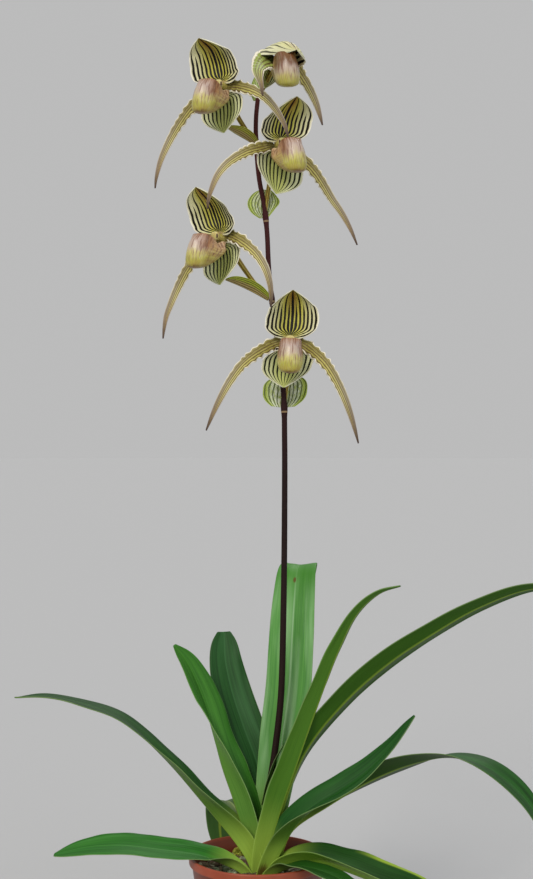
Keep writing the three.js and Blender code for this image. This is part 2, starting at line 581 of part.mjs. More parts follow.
// The bark mix fills the pot, with chunks of bark and small stones bedded in its top.
function mix() {
  const random = seeded(11);
  const inner = (z) => potOuterRadius(z) - POT_WALL - CLEARANCE;
  const low = POT_FLOOR + CLEARANCE;
  const bed = turned([[inner(low), low], [inner(MIX_LEVEL - 1), MIX_LEVEL - 1]], 24);
  const chunks = [];
  for (let i = 0; i < BARK_CHUNKS; i++) {
    const reach = 54 * Math.sqrt((i + 0.5) / BARK_CHUNKS);
    const turn = i * 2.39996;
    const size = [5 + 4 * random(), 3.5 + 3 * random(), 2.5 + 2 * random()];
    const block = new THREE.BoxGeometry(2, 2, 2);
    const chunk = mergedSolid(block).warp((corner) => {
      for (const k of [0, 1, 2]) {
        const pull = Math.abs(corner[(k + 1) % 3] + 0.4 * corner[(k + 2) % 3]);
        corner[k] *= 0.75 + 0.25 * pull;
      }
    });
    const tilt = [70 * random() - 35, 60 * random() - 30, 360 * random()];
    const at = [reach * Math.cos(turn), reach * Math.sin(turn), MIX_LEVEL + 1.5 * random()];
    chunks.push(chunk.scale(size).rotate(tilt).translate(at));
  }
  const limit = turned([[inner(low), low], [inner(119), 119]], 24);
  return wasm.Manifold.union([bed, ...chunks]).intersect(limit);
}

function mergedSolid(geometry) {
  geometry.deleteAttribute("normal");
  geometry.deleteAttribute("uv");
  const merged = mergeVertices(geometry, 1e-4);
  const vertProperties = new Float32Array(merged.attributes.position.array);
  const triVerts = new Uint32Array(merged.index.array);
  return new wasm.Manifold(new wasm.Mesh({ numProp: 3, vertProperties, triVerts }));
}

function potOuterRadius(z) {
  return THREE.MathUtils.lerp(POT_BASE_RADIUS, POT_RIM_RADIUS - POT_RIM_BEAD, z / POT_HEIGHT);
}

// The pot: a tapered wall with a rolled rim, a flat floor and a ring of drainage holes.
function pot(grow) {
  const collar = POT_HEIGHT - POT_RIM_DEPTH - grow;
  const rim = POT_RIM_RADIUS + grow;
  const top = POT_HEIGHT + grow;
  const floor = POT_FLOOR + grow;
  const shell = turned([
    [POT_BASE_RADIUS - 1.5 + grow, -grow],
    [POT_BASE_RADIUS + grow, 1.5],
    [potOuterRadius(collar) + grow, collar],
    [rim - 0.6, collar + 0.8],
    [rim, collar + 2],
    [rim, top - 1.2],
    [rim - 0.8, top],
    [rim - 2.6 - 2 * grow, top],
    [potOuterRadius(floor) - POT_WALL - grow, floor],
  ], 36);
  if (grow > 0) return shell;
  const holes = [];
  for (let i = 0; i < DRAIN_HOLES; i++) {
    const turn = (2 * Math.PI * i) / DRAIN_HOLES;
    const at = [DRAIN_RING_RADIUS * Math.cos(turn), DRAIN_RING_RADIUS * Math.sin(turn), 0];
    holes.push(turned([[DRAIN_HOLE_RADIUS, -1], [DRAIN_HOLE_RADIUS, POT_FLOOR + 1]], 8).translate(at));
  }
  return shell.subtract(wasm.Manifold.union(holes));
}

// A low cushion of moss on the mix behind the leaves.
function moss(grow) {
  const random = seeded(5);
  const tufts = [];
  for (let i = 0; i < 4; i++) {
    const size = [5 + 2 * random(), 5 + 2 * random(), 4 + 2 * random()];
    const [x, y] = [MOSS_AT[0] + 11 * (random() - 0.5), MOSS_AT[1] + 9 * (random() - 0.5)];
    const at = [x, y, MIX_LEVEL + 3 + 2 * random()];
    const tuft = mergedSolid(new THREE.IcosahedronGeometry(1, 0));
    tufts.push(tuft.scale(size.map((r) => r + 1.3 * grow)).translate(at));
  }
  return wasm.Manifold.union(tufts);
}

// The short crown the leaves grow from, bedded in the mix.
function crown(grow) {
  const outline = [[9, 88], [15, 94], [14, 104], [7, 112]];
  return turned(outline.map(([r, z]) => [r + grow, z]), 14).translate(CROWN_AT);
}

// Every piece in order: each is made whole, then trimmed to stand clear of the pieces before it.
const pieces = [];
const piece = (name, material, make) => pieces.push({ name, material, make });
piece("pot", "pot", pot);
piece("scape", "scape", scape);
piece("crown", "crown", crown);
for (const [name, flower] of Object.entries(FLOWERS)) {
  piece(`${name}_ovary`, "ovary", (grow) => tube(flower.ovary, ovaryRadius, 7, 7, grow));
  piece(`${name}_column`, "column", (grow) => placed(column(grow), flower));
  piece(`${name}_pouch`, "pouch", (grow) => placed(pouch(grow), flower));
  for (const side of ["left", "right"])
    piece(`${name}_petal_${side}`, "petal", (grow) =>
      sheet(petalGrid(flower[side], PETAL_TWIST[side], grow), PETAL_THICKNESS + 2 * grow));
  piece(`${name}_dorsal_sepal`, "sepal", (grow) =>
    sheet(sepalGrid(flower.dorsal, DORSAL_HALF, DORSAL_STEPS, 6, grow), SEPAL_THICKNESS + 2 * grow));
  piece(`${name}_synsepal`, "sepal", (grow) =>
    sheet(sepalGrid(flower.synsepal, SYNSEPAL_HALF, SYNSEPAL_STEPS, 6, grow), SEPAL_THICKNESS + 2 * grow));
  piece(`${name}_bract`, "bract", (grow) => bract(flower.bract, grow));
}
piece("scape_sheath", SHEATH.material, (grow) => sheet(leafGrid(SHEATH, grow), LEAF_THICKNESS + 2 * grow));
for (const [name, leaf] of Object.entries(LEAVES))
  piece(name, leaf.material, (grow) => sheet(leafGrid(leaf, grow), LEAF_THICKNESS + 2 * grow));
piece("moss", "moss", moss);
piece("mix", "mix", mix);

// Two pieces can only meet where their boxes do.
function boxesMeet(a, b) {
  const [p, q] = [a.boundingBox(), b.boundingBox()];
  return [0, 1, 2].every((k) => p.min[k] < q.max[k] && q.min[k] < p.max[k]);
}

function largestBody(solid) {
  return solid.decompose().sort((a, b) => b.volume() - a.volume())[0];
}

const group = new THREE.Group();
const before = [];
for (const { name, material, make } of pieces) {
  let solid = make(0);
  const near = before.filter((wide) => boxesMeet(wide, solid));
  const cuts = near.filter((wide) => !wide.intersect(solid).isEmpty());
  if (cuts.length) solid = largestBody(solid.subtract(wasm.Manifold.union(cuts))).simplify(0.08);
  before.push(make(CLEARANCE));
  const { vertProperties, triVerts } = solid.getMesh();
  const geometry = new THREE.BufferGeometry();
  geometry.setAttribute("position", new THREE.BufferAttribute(vertProperties, 3));
  geometry.setIndex(new THREE.BufferAttribute(triVerts, 1));
  geometry.computeVertexNormals();
  const { color, roughness } = MATERIALS[material];
  const mesh = new THREE.Mesh(geometry, new THREE.MeshStandardMaterial({ color, roughness, metalness: 0 }));
  mesh.name = name;
  group.add(mesh);
}

export default group;
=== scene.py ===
# %% [markdown]
# # A potted slipper orchid
# The plant is a many-flowered slipper orchid in a plastic pot. The solid model gives every piece its size
# and place. This lesson gives each piece the shape that the solid only hints at, such as waved petal
# margins, and the finish of the real one. The solids are trimmed where they meet. The finer pieces here
# aren't, so they run into one another at the crown and at the middle of each flower. Lengths are in
# millimetres until a point is handed to Blender, which works in metres.

# %% Load the frame
import math
import random
from bisect import bisect_right

import bmesh
import bpy
from mathutils import Matrix, Vector, noise


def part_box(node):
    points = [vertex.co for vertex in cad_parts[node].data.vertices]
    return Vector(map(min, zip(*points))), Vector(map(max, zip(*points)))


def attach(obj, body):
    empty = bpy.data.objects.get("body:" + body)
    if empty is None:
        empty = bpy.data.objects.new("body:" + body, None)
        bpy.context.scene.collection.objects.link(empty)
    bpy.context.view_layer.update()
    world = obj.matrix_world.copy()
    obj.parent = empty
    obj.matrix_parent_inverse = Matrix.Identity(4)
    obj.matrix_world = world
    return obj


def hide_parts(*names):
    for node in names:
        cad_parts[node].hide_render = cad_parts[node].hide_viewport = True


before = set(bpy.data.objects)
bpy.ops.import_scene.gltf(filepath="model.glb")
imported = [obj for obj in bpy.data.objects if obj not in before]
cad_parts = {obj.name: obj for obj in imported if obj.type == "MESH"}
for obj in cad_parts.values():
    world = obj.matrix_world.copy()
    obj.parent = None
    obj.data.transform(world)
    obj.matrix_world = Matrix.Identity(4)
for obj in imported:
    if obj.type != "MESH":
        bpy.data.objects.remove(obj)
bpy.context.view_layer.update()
MM = 0.001
print("nodes in the frame:", len(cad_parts))

# %% [markdown]
# ## Curves and outlines
# A leaf, a petal and a stem each follow one smooth curve through a few points. A curve of this kind passes
# through every point without loops, and it is measured along its length, so half way really is half way.
# Widths and folds change along the blade, and `profile` gives them as a smooth line through a few values.

# %% A smooth route through points
def route(points, steps=24):
    """Returns two functions of the share of the length: the point there and the direction there."""
    p = [Vector(q) for q in points]
    p = [2 * p[0] - p[1], *p, 2 * p[-1] - p[-2]]
    dense = []
    for i in range(1, len(p) - 2):
        p0, p1, p2, p3 = p[i - 1:i + 3]
        a, b, c = [math.sqrt((q - r).length) for q, r in ((p1, p0), (p2, p1), (p3, p2))]
        m1 = ((p1 - p0) / a - (p2 - p0) / (a + b) + (p2 - p1) / b) * b
        m2 = ((p2 - p1) / b - (p3 - p1) / (b + c) + (p3 - p2) / c) * b
        for k in range(steps):
            s = k / steps
            dense.append(p1 * (2 * s**3 - 3 * s**2 + 1) + m1 * (s**3 - 2 * s**2 + s)
                         + p2 * (3 * s**2 - 2 * s**3) + m2 * (s**3 - s**2))
    dense.append(p[-2])
    last = len(dense) - 1
    ways = [(dense[min(i + 1, last)] - dense[max(i - 1, 0)]).normalized() for i in range(last + 1)]
    reach = [0.0]
    for q, r in zip(dense, dense[1:]):
        reach.append(reach[-1] + (r - q).length)

    def between(values, t):
        length = min(max(t, 0), 1) * reach[-1]
        i = min(bisect_right(reach, length) - 1, len(dense) - 2)
        return values[i].lerp(values[i + 1], (length - reach[i]) / (reach[i + 1] - reach[i]))

    return lambda t: between(dense, t), lambda t: between(ways, t).normalized()


def profile(knots, t):
    """A smooth line through pairs of place and value."""
    k = 0
    while k < len(knots) - 2 and t > knots[k + 1][0]:
        k += 1
    slope = lambda i: (knots[i + 1][1] - knots[i][1]) / (knots[i + 1][0] - knots[i][0])
    first = (slope(k - 1) + slope(k)) / 2 if k > 0 else slope(k)
    last = (slope(k) + slope(k + 1)) / 2 if k + 2 < len(knots) else slope(k)
    span = knots[k + 1][0] - knots[k][0]
    s = min(1, max(0, (t - knots[k][0]) / span))
    return ((2 * s**3 - 3 * s**2 + 1) * knots[k][1] + (s**3 - 2 * s**2 + s) * span * first
            + (3 * s**2 - 2 * s**3) * knots[k + 1][1] + (s**3 - s**2) * span * last)


# %% [markdown]
# ## From a flat grid to a living blade
# Every blade starts as a flat grid. Each grid point is carried to its place on the blade, a second skin is
# pulled off the sheet for its thickness, and one level of subdivision rounds it. The grid's own UV map stays
# on the blade: its first number runs across and its second from base to tip, so veins and stripes can follow
# the growth. The two skins are marked, because the underside of a leaf or a petal is always paler or duller.
# A stem, a pouch or a stalk is the same grid rolled up, with the seam and the ends welded.

# %% Sheets and tubes from grids
def grid_piece(name, columns, rows, place, thickness=0.0, closed=False):
    """A piece from a grid: place takes (0..1 across, 0..1 along) and gives a point in millimetres."""
    bm = bmesh.new()
    bm.loops.layers.uv.new("UVMap")
    bmesh.ops.create_grid(bm, x_segments=columns, y_segments=rows, size=0.5, calc_uvs=True)
    for v in bm.verts:
        v.co = place(v.co.x + 0.5, v.co.y + 0.5) * MM
    if closed:
        bmesh.ops.remove_doubles(bm, verts=bm.verts, dist=1e-6)
        bmesh.ops.dissolve_degenerate(bm, edges=bm.edges, dist=1e-7)
        if not thickness:
            bmesh.ops.holes_fill(bm, edges=bm.edges, sides=0)
        bmesh.ops.recalc_face_normals(bm, faces=bm.faces)
    if thickness:
        second_skin(bm, thickness * MM, closed)
    piece = make_object(name, bm)
    round_off(piece)
    return piece


def second_skin(bm, thickness, inwards):
    """Thickens a sheet. The value "first skin" is 1 on the side that its normals show and 0 on the other."""
    mark = bm.verts.layers.float.new("first skin")
    way = bm.verts.layers.float_vector.new("way")
    bm.normal_update()
    for v in bm.verts:
        v[mark], v[way] = 1.0, v.normal
    made = bmesh.ops.extrude_face_region(bm, geom=bm.faces[:], use_keep_orig=True)["geom"]
    second = {v for v in made if isinstance(v, bmesh.types.BMVert)}
    for v in bm.verts:
        if v in second:
            v[mark] = 0.0
            v.co -= v[way] * (thickness if inwards else thickness / 2)
        elif not inwards:
            v.co += v[way] * thickness / 2
    bm.verts.layers.float_vector.remove(way)
    bmesh.ops.recalc_face_normals(bm, faces=bm.faces)


def make_object(name, bm):
    """Puts a bmesh into a new object at the origin, shaded smooth."""
    for face in bm.faces:
        face.smooth = True
    mesh = bpy.data.meshes.new(name)
    bm.to_mesh(mesh)
    bm.free()
    piece = bpy.data.objects.new(name, mesh)
    bpy.context.collection.objects.link(piece)
    return piece


def round_off(piece):
    """One level of subdivision, the same in the view and in the render."""
    rounding = piece.modifiers.new("rounding", "SUBSURF")
    rounding.levels = 1
    rounding.render_levels = 1


def settle(piece, node, material):
    """Gives a piece its material, and lets it stand for its node and ride with the plant."""
    piece.data.materials.clear()
    piece.data.materials.append(material)
    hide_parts(node)
    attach(piece, "root")


# %% [markdown]
# ## Colours and shader nodes
# Colours are picked as sRGB hex values, the way a colour picker shows them, while Blender's shaders want
# linear light. One function does that change. Another adds one node with its settings and links, so that
# each material below reads as a list of what it is made of. The patterns of a plant run with its growth. So
# each one is noise or a wave on the blade's own UV map, stretched by the blade's size over the size of the
# real grain.

# %% Colour and node helpers
def colour(code):
    """sRGB hex to a linear colour with alpha. A plain number gives that grey."""
    if not isinstance(code, str):
        return (code, code, code, 1)
    parts = [int(code[i:i + 2], 16) / 255 for i in (1, 3, 5)]
    return (*[c / 12.92 if c <= 0.04045 else ((c + 0.055) / 1.055) ** 2.4 for c in parts], 1)


def add(tree, kind, inputs=None, pick=0, stops=(), **settings):
    """Adds one node with its settings, links and colour stops, and returns the output that is picked."""
    made = tree.nodes.new("ShaderNode" + kind)
    for key, value in settings.items():
        setattr(made, key, value)
    for socket, value in (inputs or {}).items():
        if isinstance(value, bpy.types.NodeSocket):
            tree.links.new(value, made.inputs[socket])
        else:
            made.inputs[socket].default_value = colour(value) if isinstance(value, str) else value
    for index, (place, code) in enumerate(stops):
        elements = made.color_ramp.elements
        element = elements[index] if index < 2 else elements.new(place)
        element.position, element.color = place, colour(code)
    return made.outputs[pick]


def new_material(name, roughness, **sockets):
    """A Principled material. Constant values go straight on the shader's sockets."""
    material = bpy.data.materials.new(name)
    material.use_nodes = True
    tree = material.node_tree
    shader = tree.nodes["Principled BSDF"]
    shader.inputs["Roughness"].default_value = roughness
    for socket, value in sockets.items():
        shader.inputs[socket.replace("_", " ")].default_value = value
    return material, tree, shader


def dress(tree, shader, tone, height, depth):
    """Wires the finished colour and a relief of that depth in millimetres into the shader."""
    tree.links.new(tone, shader.inputs["Base Color"])
    bump = add(tree, "Bump", {"Height": height, "Distance": depth * MM})
    tree.links.new(bump, shader.inputs["Normal"])


def growth_map(tree):
    """The blade's own UV map, its shares across and along, and the distance from the middle line."""
    uv = add(tree, "UVMap", uv_map="UVMap")
    across = add(tree, "SeparateXYZ", {0: uv}, "X")
    along = add(tree, "SeparateXYZ", {0: uv}, "Y")
    from_middle = add(tree, "Math", {0: across, 1: 2.0, 2: -1.0}, operation="MULTIPLY_ADD")
    from_middle = add(tree, "Math", {0: from_middle}, operation="ABSOLUTE")
    return uv, across, along, from_middle


def streaks(tree, uv, blade, grain, detail=3.0):
    """Noise drawn out along the growth. Blade and grain are sizes across and along, in millimetres."""
    stretched = add(tree, "Mapping", {0: uv, "Scale": (blade[0] / grain[0], blade[1] / grain[1], 1)})
    return add(tree, "TexNoise", {"Vector": stretched, "Scale": 1.0, "Detail": detail})


# %% [markdown]
# ## The leaves
# A strap leaf is thick, glossy and folded along its midrib, with the fold closing towards the crown. The
# curve gives the midrib, and each row of the grid is laid across it: level, then rolled about the midrib,
# then folded up by the angle that the leaf has there. The fold is rounded a little at the midrib, as a
# living leaf is. Five of the leaves clasp the crown: there the half towards the front is folded further and
# the whole leaf is broader.

# %% Leaf shapes
LEAVES = {
  "leaf_right_upright": {
    "line": [[6, -12, 99], [11, -14, 128], [23, -16, 171], [40, -24, 223], [60, -33, 283], [80, -41, 338],
      [98, -47, 375], [119, -51, 395], [140, -53, 402]],
    "width": [[0, 13], [0.12, 18], [0.35, 20.5], [0.6, 17], [0.8, 12], [0.93, 6.5], [1, 1.6]],
    "fold": [[0, 60], [0.2, 48], [0.5, 34], [0.8, 24], [1, 15]],
    "roll": [[0, 0], [0.3, -8], [0.7, -16], [1, -16]],
  },
  "leaf_left_upright": {
    "line": [[-4, -1, 99], [-8, -1, 118], [-14, 0, 141], [-26, 2, 179], [-37, 6, 210], [-45, 11, 239],
      [-53, 15, 268], [-63, 19, 294], [-74, 23, 316], [-87, 25, 333]],
    "width": [[0, 11], [0.15, 18], [0.4, 22], [0.65, 21.5], [0.85, 16], [0.95, 9], [1, 2]],
    "fold": [[0, 62], [0.2, 50], [0.5, 42], [0.8, 30], [1, 18]],
    "roll": [[0, 0], [0.4, -6], [0.7, -18], [1, -32]],
  },
  "leaf_left_arching": {
    "line": [[-5, -7, 99], [-10, -8, 117], [-22, -8, 136], [-55, -8, 177], [-96, -8, 225], [-137, -6, 262],
      [-179, -4, 278], [-216, -2, 285], [-247, 0, 283]],
    "width": [[0, 13], [0.12, 19], [0.35, 21], [0.65, 20], [0.85, 13], [0.96, 6], [1, 1.8]],
    "fold": [[0, 64], [0.15, 52], [0.35, 32], [0.6, 10], [1, 6]],
    "roll": [[0, 0], [1, 0]],
  },
  "leaf_right_short": {
    "line": [[11, -17, 99], [16, -20, 116], [26, -22, 137], [40, -28, 163], [60, -32, 182], [85, -34, 198],
      [111, -34, 217], [135, -32, 242], [156, -30, 271]],
    "width": [[0, 14], [0.15, 17], [0.4, 20], [0.65, 17.5], [0.85, 11], [0.95, 6], [1, 1.8]],
    "fold": [[0, 62], [0.2, 50], [0.5, 33], [0.8, 33], [1, 20]],
    "roll": [[0, 0], [0.25, 14], [0.5, 27], [1, 20]],
  },
  "leaf_left_low": {
    "line": [[-8, -14, 99], [-14, -16, 107], [-22, -17, 113], [-34, -18, 119], [-58, -20, 128.5],
      [-98, -22, 135],
      [-137, -24, 140], [-172, -24, 138], [-204, -22, 130]],
    "width": [[0, 9], [0.12, 14], [0.3, 18], [0.55, 19], [0.8, 16.5], [0.94, 9], [1, 2.5]],
    "fold": [[0, 60], [0.15, 45], [0.35, 20], [0.7, 10], [1, 6]],
    "roll": [[0, 0], [0.25, -12], [0.6, -18], [1, -16]],
  },
  "leaf_right_low": {
    "line": [[14, -22, 100], [19, -24, 109], [27, -27, 118], [42, -32, 124.5], [61, -38, 125.5],
      [85, -49, 122], [114, -62, 115], [150, -75, 108], [179, -84, 97], [202, -91, 81]],
    "width": [[0, 10], [0.09, 18], [0.3, 25], [0.6, 25], [0.82, 18], [0.94, 9], [1, 2]],
    "fold": [[0, 64], [0.15, 64], [0.35, 59], [0.6, 51], [1, 30]],
    "roll": [[0, 0], [0.2, 2], [0.6, 6], [1, 8]],
  },
  "leaf_front_low": {
    "line": [[6, -28, 99], [15, -34, 112], [28, -42, 122], [43, -55, 128.5], [60, -69, 129], [77, -83, 126],
      [95, -96, 118], [113, -108, 103]],
    "width": [[0, 8], [0.15, 13], [0.4, 17], [0.7, 16], [0.9, 9], [1, 2]],
    "fold": [[0, 55], [0.2, 42], [0.4, 13], [1, 8]],
    "roll": [[0, 0], [0.2, -10], [0.4, -6], [1, -4]],
  },
  "leaf_right_arching": {
    "line": [[18, -3, 99], [24, -4, 122], [34, -6, 148], [70, -7, 174], [112, -13, 201], [153, -32, 223],
      [188, -48, 233.5], [217, -60, 229], [240, -70, 216], [259, -78, 197], [273, -84, 172],
      [283, -88, 144]],
    "width": [[0, 9], [0.1, 15], [0.3, 20], [0.6, 22.5], [0.82, 18.5], [0.94, 10], [1, 2]],
    "fold": [[0, 60], [0.15, 48], [0.35, 28], [0.6, 14], [1, 8]],
    "roll": [[0, 0], [0.2, -22], [0.45, -30], [0.62, -10], [0.75, 8], [1, 12]],
  },
  "leaf_right_long": {
    "line": [[15, 2, 99], [18, 0, 129], [25, -4, 168], [48, -14, 231], [87, -28, 284], [129, -44, 325],
      [170, -60, 356], [211, -76, 383], [260, -96, 404], [295, -108, 403], [324, -118, 391]],
    "width": [[0, 11], [0.1, 16], [0.3, 18], [0.55, 17.5], [0.75, 13.5], [0.9, 8], [1, 2]],
    "fold": [[0, 60], [0.15, 46], [0.4, 30], [0.7, 20], [1, 10]],
    "roll": [[0, 0], [0.2, -22], [0.6, -30], [1, -26]],
  },
  "leaf_back_upright": {
    "line": [[9, 8, 99], [12, 10, 130], [18, 13, 186], [25, 17, 237], [32, 21, 287], [35, 29, 333],
      [38, 43, 379], [41, 62, 405], [45, 85, 410], [48, 112, 395], [51, 132, 364]],
    "width": [[0, 10], [0.1, 17], [0.3, 23], [0.55, 25], [0.8, 20], [0.94, 11], [1, 2.5]],
    "fold": [[0, 58], [0.12, 44], [0.3, 22], [0.6, 12], [1, 8]],
    "roll": [[0, 0], [1, 0]],
  },
  "leaf_back_left_upright": {
    "line": [[0, 9, 99], [2, 14, 130], [4, 20, 174], [-1, 28, 208], [-16, 40, 247], [-28, 52, 281],
      [-35, 62, 311], [-37, 73, 340]],
    "width": [[0, 9], [0.15, 16], [0.45, 21], [0.7, 21], [0.88, 17.5], [0.96, 13], [1, 7]],
    "fold": [[0, 60], [0.2, 44], [0.5, 22], [1, 12]],
    "roll": [[0, 0], [0.3, -16], [1, -24]],
  },
  "leaf_back_low": {
    "line": [[-2, 12, 99], [-4, 20, 125], [-16, 36, 148], [-28, 58, 160], [-38, 84, 155], [-42, 102, 140],
      [-42, 113, 112], [-37, 118, 84]],
    "width": [[0, 8], [0.15, 12], [0.4, 17], [0.7, 16], [0.9, 10], [1, 3]],
    "fold": [[0, 56], [0.2, 38], [0.5, 16], [1, 10]],
    "roll": [[0, 0], [1, 0]],
  },
}


CLASP = {
    # Where it wraps the crown, the near half of a leaf is folded further and is broader than further out.
    # share of the length, degrees, breadth
    "leaf_left_upright": [(0, 24, 1.1), (0.22, 52, 1.25), (0.42, 48, 1.15), (0.6, 26, 1), (0.75, 0, 1)],
    "leaf_left_arching": [(0, 24, 1.2), (0.15, 44, 1.15), (0.3, 20, 1), (0.5, 4, 1), (0.6, 0, 1)],
    "leaf_right_upright": [(0, 24, 1.1), (0.25, 36, 1.05), (0.5, 22, 1), (0.85, 4, 1)],
    "leaf_right_short": [(0, 24, 1.2), (0.2, 44, 1.15), (0.36, 18, 1), (0.6, 0, 1)],
    "leaf_left_low": [(0, 30, 1), (0.14, 40, 1), (0.26, 0, 1)],
}
FLAT = ((0, 0, 1), (1, 0, 1))


def soft_fold(u):
    """The absolute value of u with its corner rounded off."""
    return math.sqrt(u * u + 0.004) - 0.063


def leaf_place(leaf, seed=0.0, ripple=0.0, clasp=FLAT):
    """Where each grid point of a leaf lies."""
    point_at, heading_at = route(leaf["line"])
    line = leaf["line"]
    heading = Vector((line[-1][0] - line[0][0], line[-1][1] - line[0][1], 0)).normalized()
    level = Vector((-heading.y, heading.x, 0))

    def place(across, along):
        u = 1 - 2 * across
        tangent = heading_at(along)
        side = (level - tangent * level.dot(tangent)).normalized()
        side.rotate(Matrix.Rotation(math.radians(profile(leaf["roll"], along)), 3, tangent))
        face = tangent.cross(side)
        half = profile(leaf["width"], along)
        near = u * side.y < 0
        # The near half takes the whole extra fold, and the far half less of it but more of the breadth.
        extra = profile([row[:2] for row in clasp], along)
        broader = profile([(row[0], row[2]) for row in clasp], along) - 1
        fold = profile(leaf["fold"], along) + extra * (1 if near else 0.4)
        half *= 1 + broader * (1 if near else 1.8)
        flatten = math.radians(fold) * (1 - 0.25 * abs(u))
        wave = ripple * u * abs(u) * noise.noise(Vector((9 * along, 3 * u + seed, seed))) * min(1, 4 * along)
        return (point_at(along) + side * (half * u * math.cos(flatten))
                + face * (half * soft_fold(u) * math.sin(flatten) + wave))

    return place


# %% [markdown]
# ## The finish of a leaf
# An orchid leaf has a waxy skin over fine lengthwise fibres. The eye sees a soft gloss, streaks less than a
# millimetre wide, a lighter line where the midrib runs, and a thin pale margin. The underside is yellower
# and duller, with the midrib as a yellow keel, and the base, where the leaves clasp one another and get no
# sun, is yellow-green. Each leaf has its own green. On the back upright leaf the whitish broad streaks are a
# painted sheen, and the dark olive undersides of the long right leaf and the right arching leaf are painted
# shade. Two leaves carry a small brown scar.

# %% Leaf material
def blade_size(leaf):
    """Width and length of a leaf in millimetres."""
    length = sum((Vector(q) - Vector(r)).length for q, r in zip(leaf["line"], leaf["line"][1:]))
    return 2 * max(width for _, width in leaf["width"]), length


def waxy_leaf(name, leaf, green, shade, light, under, base="#a2c04c", base_end=0.28, turned=0.0, mark=None,
              tip=0.0):
    """Turned is how strongly the far margin shows the pale underside where it folds over. Mark says where a
    brown scar lies, as shares across and along, and how broad and long it is in millimetres. Tip is how
    strongly a deeper green returns towards the tip."""
    material, tree, shader = new_material(name, 0.48, IOR=1.45, Specular_IOR_Level=0.15)
    uv, across, along, from_middle = growth_map(tree)
    size = blade_size(leaf)
    upper = add(tree, "Attribute", attribute_name="first skin", pick="Fac")
    fibres = streaks(tree, uv, size, (1.3, 130))
    fine = streaks(tree, uv, size, (0.6, 60))
    broad = streaks(tree, uv, size, (14, 110), detail=2.0)
    tone = add(tree, "Mix", {0: add(tree, "MapRange", {0: fibres, 1: 0.36, 2: 0.66}), 6: shade, 7: green}, 2,
               data_type="RGBA")
    # Broad lighter streaks. On the back upright leaf their tone is whitish, a painted sheen.
    tone = add(tree, "Mix", {0: add(tree, "MapRange", {0: broad, 1: 0.44, 2: 0.72, 4: 0.6}), 6: tone,
                             7: light}, 2, data_type="RGBA")
    tone = add(tree, "Mix", {0: add(tree, "MapRange", {0: upper, 3: 0.92, 4: 0.0}), 6: tone, 7: under}, 2,
               data_type="RGBA")
    tone = add(tree, "Mix", {0: add(tree, "MapRange", {0: fine, 1: 0.5, 2: 0.72, 4: 0.4}), 6: tone,
                             7: shade}, 2, data_type="RGBA")
    # The midrib is about 1.5 mm wide above and a yellower keel of 3 mm below. The pale margin is 0.5 mm.
    rib = add(tree, "MapRange", {0: from_middle, 1: 1.0 / size[0], 2: 2.6 / size[0], 3: 0.5, 4: 0.0})
    tone = add(tree, "Mix", {0: rib, 6: tone, 7: light}, 2, data_type="RGBA")
    keel = add(tree, "MapRange", {0: from_middle, 1: 1.5 / size[0], 2: 5.0 / size[0], 3: 0.75, 4: 0.0})
    keel = add(tree, "Math", {0: keel, 1: add(tree, "MapRange", {0: upper, 3: 1.0, 4: 0.0})},
               operation="MULTIPLY")
    tone = add(tree, "Mix", {0: keel, 6: tone, 7: "#86a234"}, 2, data_type="RGBA")
    near_base = add(tree, "MapRange", {0: along, 1: 0.02, 2: base_end, 3: 1.0, 4: 0.0},
                    interpolation_type="SMOOTHSTEP")
    near_base = add(tree, "Math", {0: near_base,
                                   1: add(tree, "MapRange", {0: fibres, 1: 0.2, 2: 0.7, 3: 1, 4: 0.8})},
                    operation="MULTIPLY")
    tone = add(tree, "Mix", {0: near_base, 6: tone, 7: base}, 2, data_type="RGBA")
    edge = add(tree, "MapRange", {0: from_middle, 1: 1 - 1.6 / size[0], 2: 1 - 0.8 / size[0], 4: 0.32})
    edge = add(tree, "Math", {0: edge, 1: add(tree, "MapRange",
                                              {0: along, 1: 0.06, 2: 0.3, 3: 0.1, 4: 1.0})},
               operation="MULTIPLY")
    tone = add(tree, "Mix", {0: edge, 6: tone, 7: "#9db37c"}, 2, data_type="RGBA")
    if turned:
        fold = add(tree, "MapRange", {0: across, 1: 0.05, 2: 0.08, 3: turned, 4: 0.0})
        fold = add(tree, "Math", {0: fold, 1: add(tree, "MapRange", {0: along, 1: 0.4, 2: 0.52})},
                   operation="MULTIPLY")
        tone = add(tree, "Mix", {0: fold, 6: tone, 7: "#90ac38"}, 2, data_type="RGBA")
    if tip:
        tone = add(tree, "Mix", {0: add(tree, "MapRange", {0: along, 1: 0.66, 2: 0.76, 4: tip}), 6: tone,
                                 7: "#3c7a24"}, 2, data_type="RGBA")
    if mark:
        # The scar is an uneven spot, drawn out along the leaf.
        spread = (size[0] / mark[2], size[1] / mark[3], 1)
        away = add(tree, "Mapping", {0: uv, "Location": (-mark[0] * spread[0], -mark[1] * spread[1], 0),
                                     "Scale": spread})
        away = add(tree, "VectorMath", {0: away}, "Value", operation="LENGTH")
        away = add(tree, "Math", {0: fine, 1: 0.9, 2: away}, operation="MULTIPLY_ADD")
        scar = add(tree, "MapRange", {0: away, 1: 0.75, 2: 1.05, 3: 0.85, 4: 0.0})
        tone = add(tree, "Mix", {0: scar, 6: tone, 7: "#5c3a1c"}, 2, data_type="RGBA")
    dress(tree, shader, tone, add(tree, "Math", {0: fine, 1: fibres}, operation="ADD"), 0.1)
    return material


